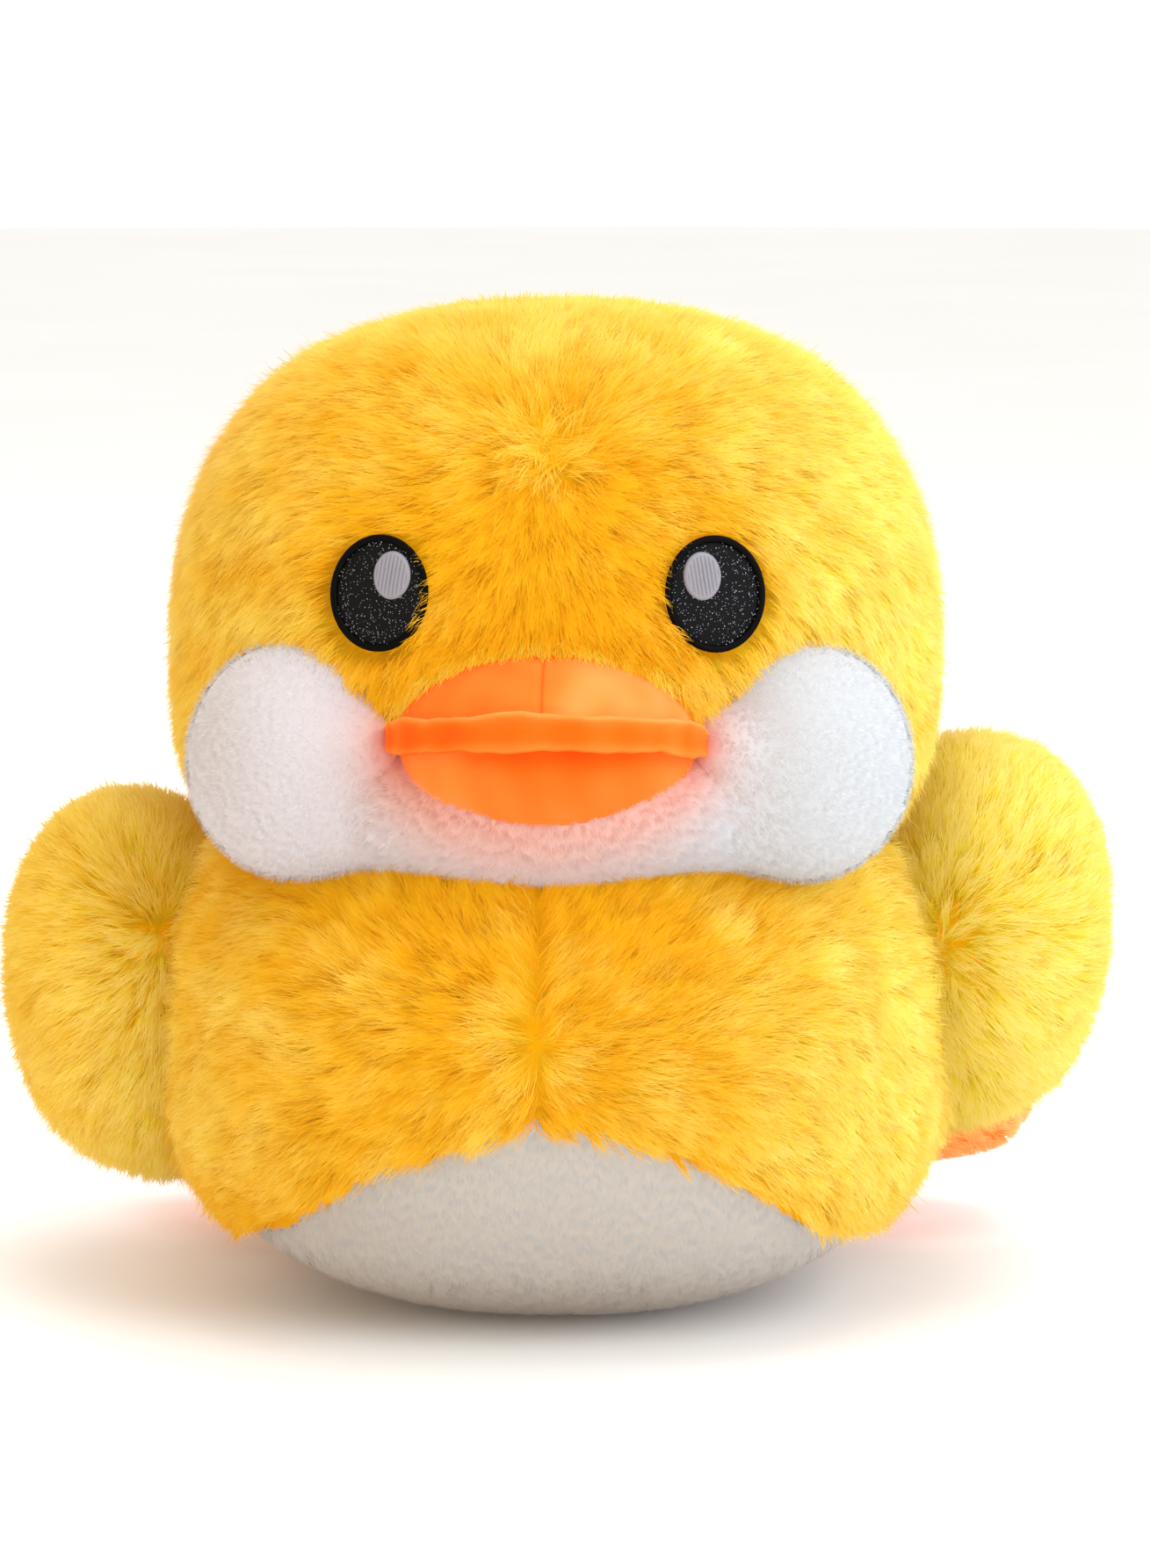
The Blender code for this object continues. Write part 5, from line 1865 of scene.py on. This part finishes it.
def make_feet():
    """Webbed feet of velour, with a nap where they stand clear of the body."""
    for side, _sign in SIDES:
        form = FEET[side]
        piece = stuffed(
            f"foot_{side}_velour",
            form,
            0.2 * MM,
            MATERIALS["velour"],
            (192, 96),
            foot_shape(form),
            tone=lambda points: 0.5 + 0.1 * waves(points, 14 * MM, 53),
        )
        nodes = (f"foot_{side}_top_panel", f"foot_{side}_sole_panel", f"foot_{side}_stuffing")
        settle(piece, f"foot_{side}", nodes)
        rng = np.random.default_rng(51)
        bed = Bed(form, 0.2 * MM, 1.5 * MM, rng, (96, 48))
        bed.keep(BODY.beyond(bed.points) > 2 * MM)
        out = form.turn @ np.array((1.0, 0, 0))
        bed.grooms = flatten(np.broadcast_to(out, bed.points.shape) + (0, 0, -0.4), bed.normals)
        shade_bed(bed, 0.5, patch=9 * MM, seed=52)
        pile = Pile(2.6 * MM, 5.5 * MM, 5, 0.22 * MM, 1.1 * MM, unrest=20)
        piece = grow(f"foot_{side}_nap", bed, pile, rng, MATERIALS["orange_pile"], short=True)
        settle(lit_through(piece), f"foot_{side}")


# The sky's light on the left, in the middle and on the right of the duck.
SKY_STOPS = ((0.0, (0.92, 0.78, 0.57)), (0.5, (1.02, 1.01, 0.99)), (1.0, (1.04, 1.1, 1.17)))
LIGHTS_AIM = (0, 0, 0.17)
CAMERA_AIM = (6.6 * MM, 0, 176.3 * MM)
FLOOR_RADIUS = 8.0


def make_sky(scene):
    """An even studio sky, warm on the left and cool on the right. The camera sees it as white."""
    world = bpy.data.worlds.new("studio")
    world.use_nodes = True
    tree = world.node_tree
    place = add_node(tree, "ShaderNodeTexCoord").outputs["Generated"]
    apart = add_node(tree, "ShaderNodeSeparateXYZ", links={"Vector": place})
    span = add_node(tree, "ShaderNodeMapRange", {"From Min": -1.0}, {"Value": apart.outputs["X"]})
    sky = add_node(tree, "ShaderNodeValToRGB", links={"Fac": span.outputs["Result"]}, stops=SKY_STOPS)
    path = add_node(tree, "ShaderNodeLightPath")
    seen = add_node(
        tree,
        "ShaderNodeMix",
        {"data_type": "RGBA"},
        {0: path.outputs["Is Camera Ray"], 6: sky.outputs["Color"]},
    )
    seen.inputs[7].default_value = (1, 1, 1, 1)
    tree.links.new(seen.outputs[2], tree.nodes["Background"].inputs["Color"])
    scene.world = world


def make_floor():
    """A round of matt white paper, wide enough that its edge doesn't show."""
    paper = cloth_material(
        "matt white paper",
        from_hex("#FAFAFA"),
        from_hex("#FDFDFD"),
        0.5,
        {"Roughness": 0.9, "Specular IOR Level": 0.2},
        bump=0.02,
        grain=2 * MM,
    )
    angle = np.arange(64) * math.pi / 32
    edge = np.stack((np.cos(angle), np.sin(angle), 0 * angle), axis=1) * FLOOR_RADIUS
    floor = mesh_from("studio_floor", edge, np.arange(64), np.array([64]), paper)
    floor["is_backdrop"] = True


def area_light(name, place, size, power, colour=(1, 1, 1)):
    """A round soft light that is aimed at the duck."""
    data = bpy.data.lights.new(name, "AREA")
    data.shape = "DISK"
    data.size = size
    data.energy = power
    data.color = colour
    made = bpy.data.objects.new(name, data)
    bpy.context.scene.collection.objects.link(made)
    made.location = place
    made.rotation_euler = (Vector(LIGHTS_AIM) - Vector(place)).to_track_quat("-Z", "Y").to_euler()


def make_camera(scene, settings):
    """A long lens, a little above the duck and to its side."""
    data = bpy.data.cameras.new("camera")
    data.lens = settings.focal_length
    data.sensor_width = 36
    camera = bpy.data.objects.new("camera", data)
    scene.collection.objects.link(camera)
    turn, rise = settings.camera_turn, settings.camera_rise
    way = Vector((math.sin(turn) * math.cos(rise), -math.cos(turn) * math.cos(rise), math.sin(rise)))
    camera.location = Vector(CAMERA_AIM) + way * settings.camera_distance
    camera.rotation_euler = (-way).to_track_quat("-Z", "Y").to_euler()
    scene.camera = camera


def make_stage(scene):
    """A white floor under an even sky, a soft cool key from the right, a warm fill, and the camera."""
    scene.view_settings.view_transform = "Standard"
    make_sky(scene)
    make_floor()
    area_light("key", (1.6, -1.4, 1.4), size=1.6, power=30, colour=(0.86, 0.95, 1.0))
    area_light("fill", (-1.8, -1.6, 0.8), size=1.8, power=8, colour=(1.0, 0.78, 0.5))
    area_light("top", (0.3, 0.1, 2.1), size=1.8, power=16, colour=(1.0, 0.98, 0.95))
    area_light("back", (-0.7, 2.0, 1.2), size=1.6, power=12)
    make_camera(scene, scene.duck_stage)


class DUCK_OT_materials(bpy.types.Operator):
    """Make the fabrics, threads and pile"""

    bl_idname = "duck.materials"
    bl_label = "Fabrics"
    bl_options = {"REGISTER", "UNDO"}

    def execute(self, context):
        make_materials(context.scene.duck_colours)
        return {"FINISHED"}


class DUCK_OT_head(bpy.types.Operator):
    """Grow the head's fur, and the fringe over the bill"""

    bl_idname = "duck.head"
    bl_label = "Head"
    bl_options = {"REGISTER", "UNDO"}

    def execute(self, context):
        make_head_fur(context.scene.duck_fur)
        make_bill_fringe(context.scene.duck_fur)
        return {"FINISHED"}


class DUCK_OT_body(bpy.types.Operator):
    """Grow the body's fur and the tail"""

    bl_idname = "duck.body"
    bl_label = "Body and tail"
    bl_options = {"REGISTER", "UNDO"}

    def execute(self, context):
        make_body_fur(context.scene.duck_fur)
        make_tail_fur(context.scene.duck_fur)
        return {"FINISHED"}


class DUCK_OT_wings(bpy.types.Operator):
    """Grow the wings' fur"""

    bl_idname = "duck.wings"
    bl_label = "Wings"
    bl_options = {"REGISTER", "UNDO"}

    def execute(self, context):
        for side, sign in SIDES:
            make_wing_fur(side, sign, context.scene.duck_fur)
        return {"FINISHED"}


class DUCK_OT_white(bpy.types.Operator):
    """Make the cheeks, chin and belly of short white pile"""

    bl_idname = "duck.white"
    bl_label = "Cheeks, chin and belly"
    bl_options = {"REGISTER", "UNDO"}

    def execute(self, context):
        make_cheeks(context.scene.duck_fur)
        make_chin(context.scene.duck_fur)
        make_belly(context.scene.duck_fur)
        return {"FINISHED"}


class DUCK_OT_bill(bpy.types.Operator):
    """Make the bill and its lip"""

    bl_idname = "duck.bill"
    bl_label = "Bill"
    bl_options = {"REGISTER", "UNDO"}

    def execute(self, _context):
        make_bill_halves()
        make_lip()
        return {"FINISHED"}


class DUCK_OT_eyes(bpy.types.Operator):
    """Make the eyes"""

    bl_idname = "duck.eyes"
    bl_label = "Eyes"
    bl_options = {"REGISTER", "UNDO"}

    def execute(self, _context):
        make_eyes()
        return {"FINISHED"}


class DUCK_OT_feet(bpy.types.Operator):
    """Make the feet"""

    bl_idname = "duck.feet"
    bl_label = "Feet"
    bl_options = {"REGISTER", "UNDO"}

    def execute(self, _context):
        make_feet()
        return {"FINISHED"}


class DUCK_OT_stage(bpy.types.Operator):
    """Set the sky, the floor, the lights and the camera"""

    bl_idname = "duck.stage"
    bl_label = "Stage"
    bl_options = {"REGISTER", "UNDO"}

    def execute(self, context):
        make_stage(context.scene)
        return {"FINISHED"}


OPERATORS = (
    DUCK_OT_materials,
    DUCK_OT_head,
    DUCK_OT_body,
    DUCK_OT_wings,
    DUCK_OT_white,
    DUCK_OT_bill,
    DUCK_OT_eyes,
    DUCK_OT_feet,
    DUCK_OT_stage,
)


class DUCK_PT_panel(bpy.types.Panel):
    """Lists the duck's pieces"""

    bl_label = "Plush duck"
    bl_idname = "DUCK_PT_panel"
    bl_space_type = "VIEW_3D"
    bl_region_type = "UI"
    bl_category = "Plush duck"

    def draw(self, context):
        for operator in OPERATORS:
            self.layout.operator(operator.bl_idname)
        for name, group in PROPERTY_GROUPS:
            box = self.layout.box()
            for prop in group.__annotations__:
                box.prop(getattr(context.scene, name), prop)


def register():
    for name, group in PROPERTY_GROUPS:
        bpy.utils.register_class(group)
        setattr(bpy.types.Scene, name, PointerProperty(type=group))
    for operator in (*OPERATORS, DUCK_PT_panel):
        bpy.utils.register_class(operator)


def unregister():
    for operator in reversed((*OPERATORS, DUCK_PT_panel)):
        bpy.utils.unregister_class(operator)
    for name, group in reversed(PROPERTY_GROUPS):
        delattr(bpy.types.Scene, name)
        bpy.utils.unregister_class(group)


def main():
    register()
    for operator in OPERATORS:
        area, name = operator.bl_idname.split(".")
        getattr(getattr(bpy.ops, area), name)()
    {"cad": CAD_BOX, "visual": measured()}


if __name__ == "__main__":
    main()
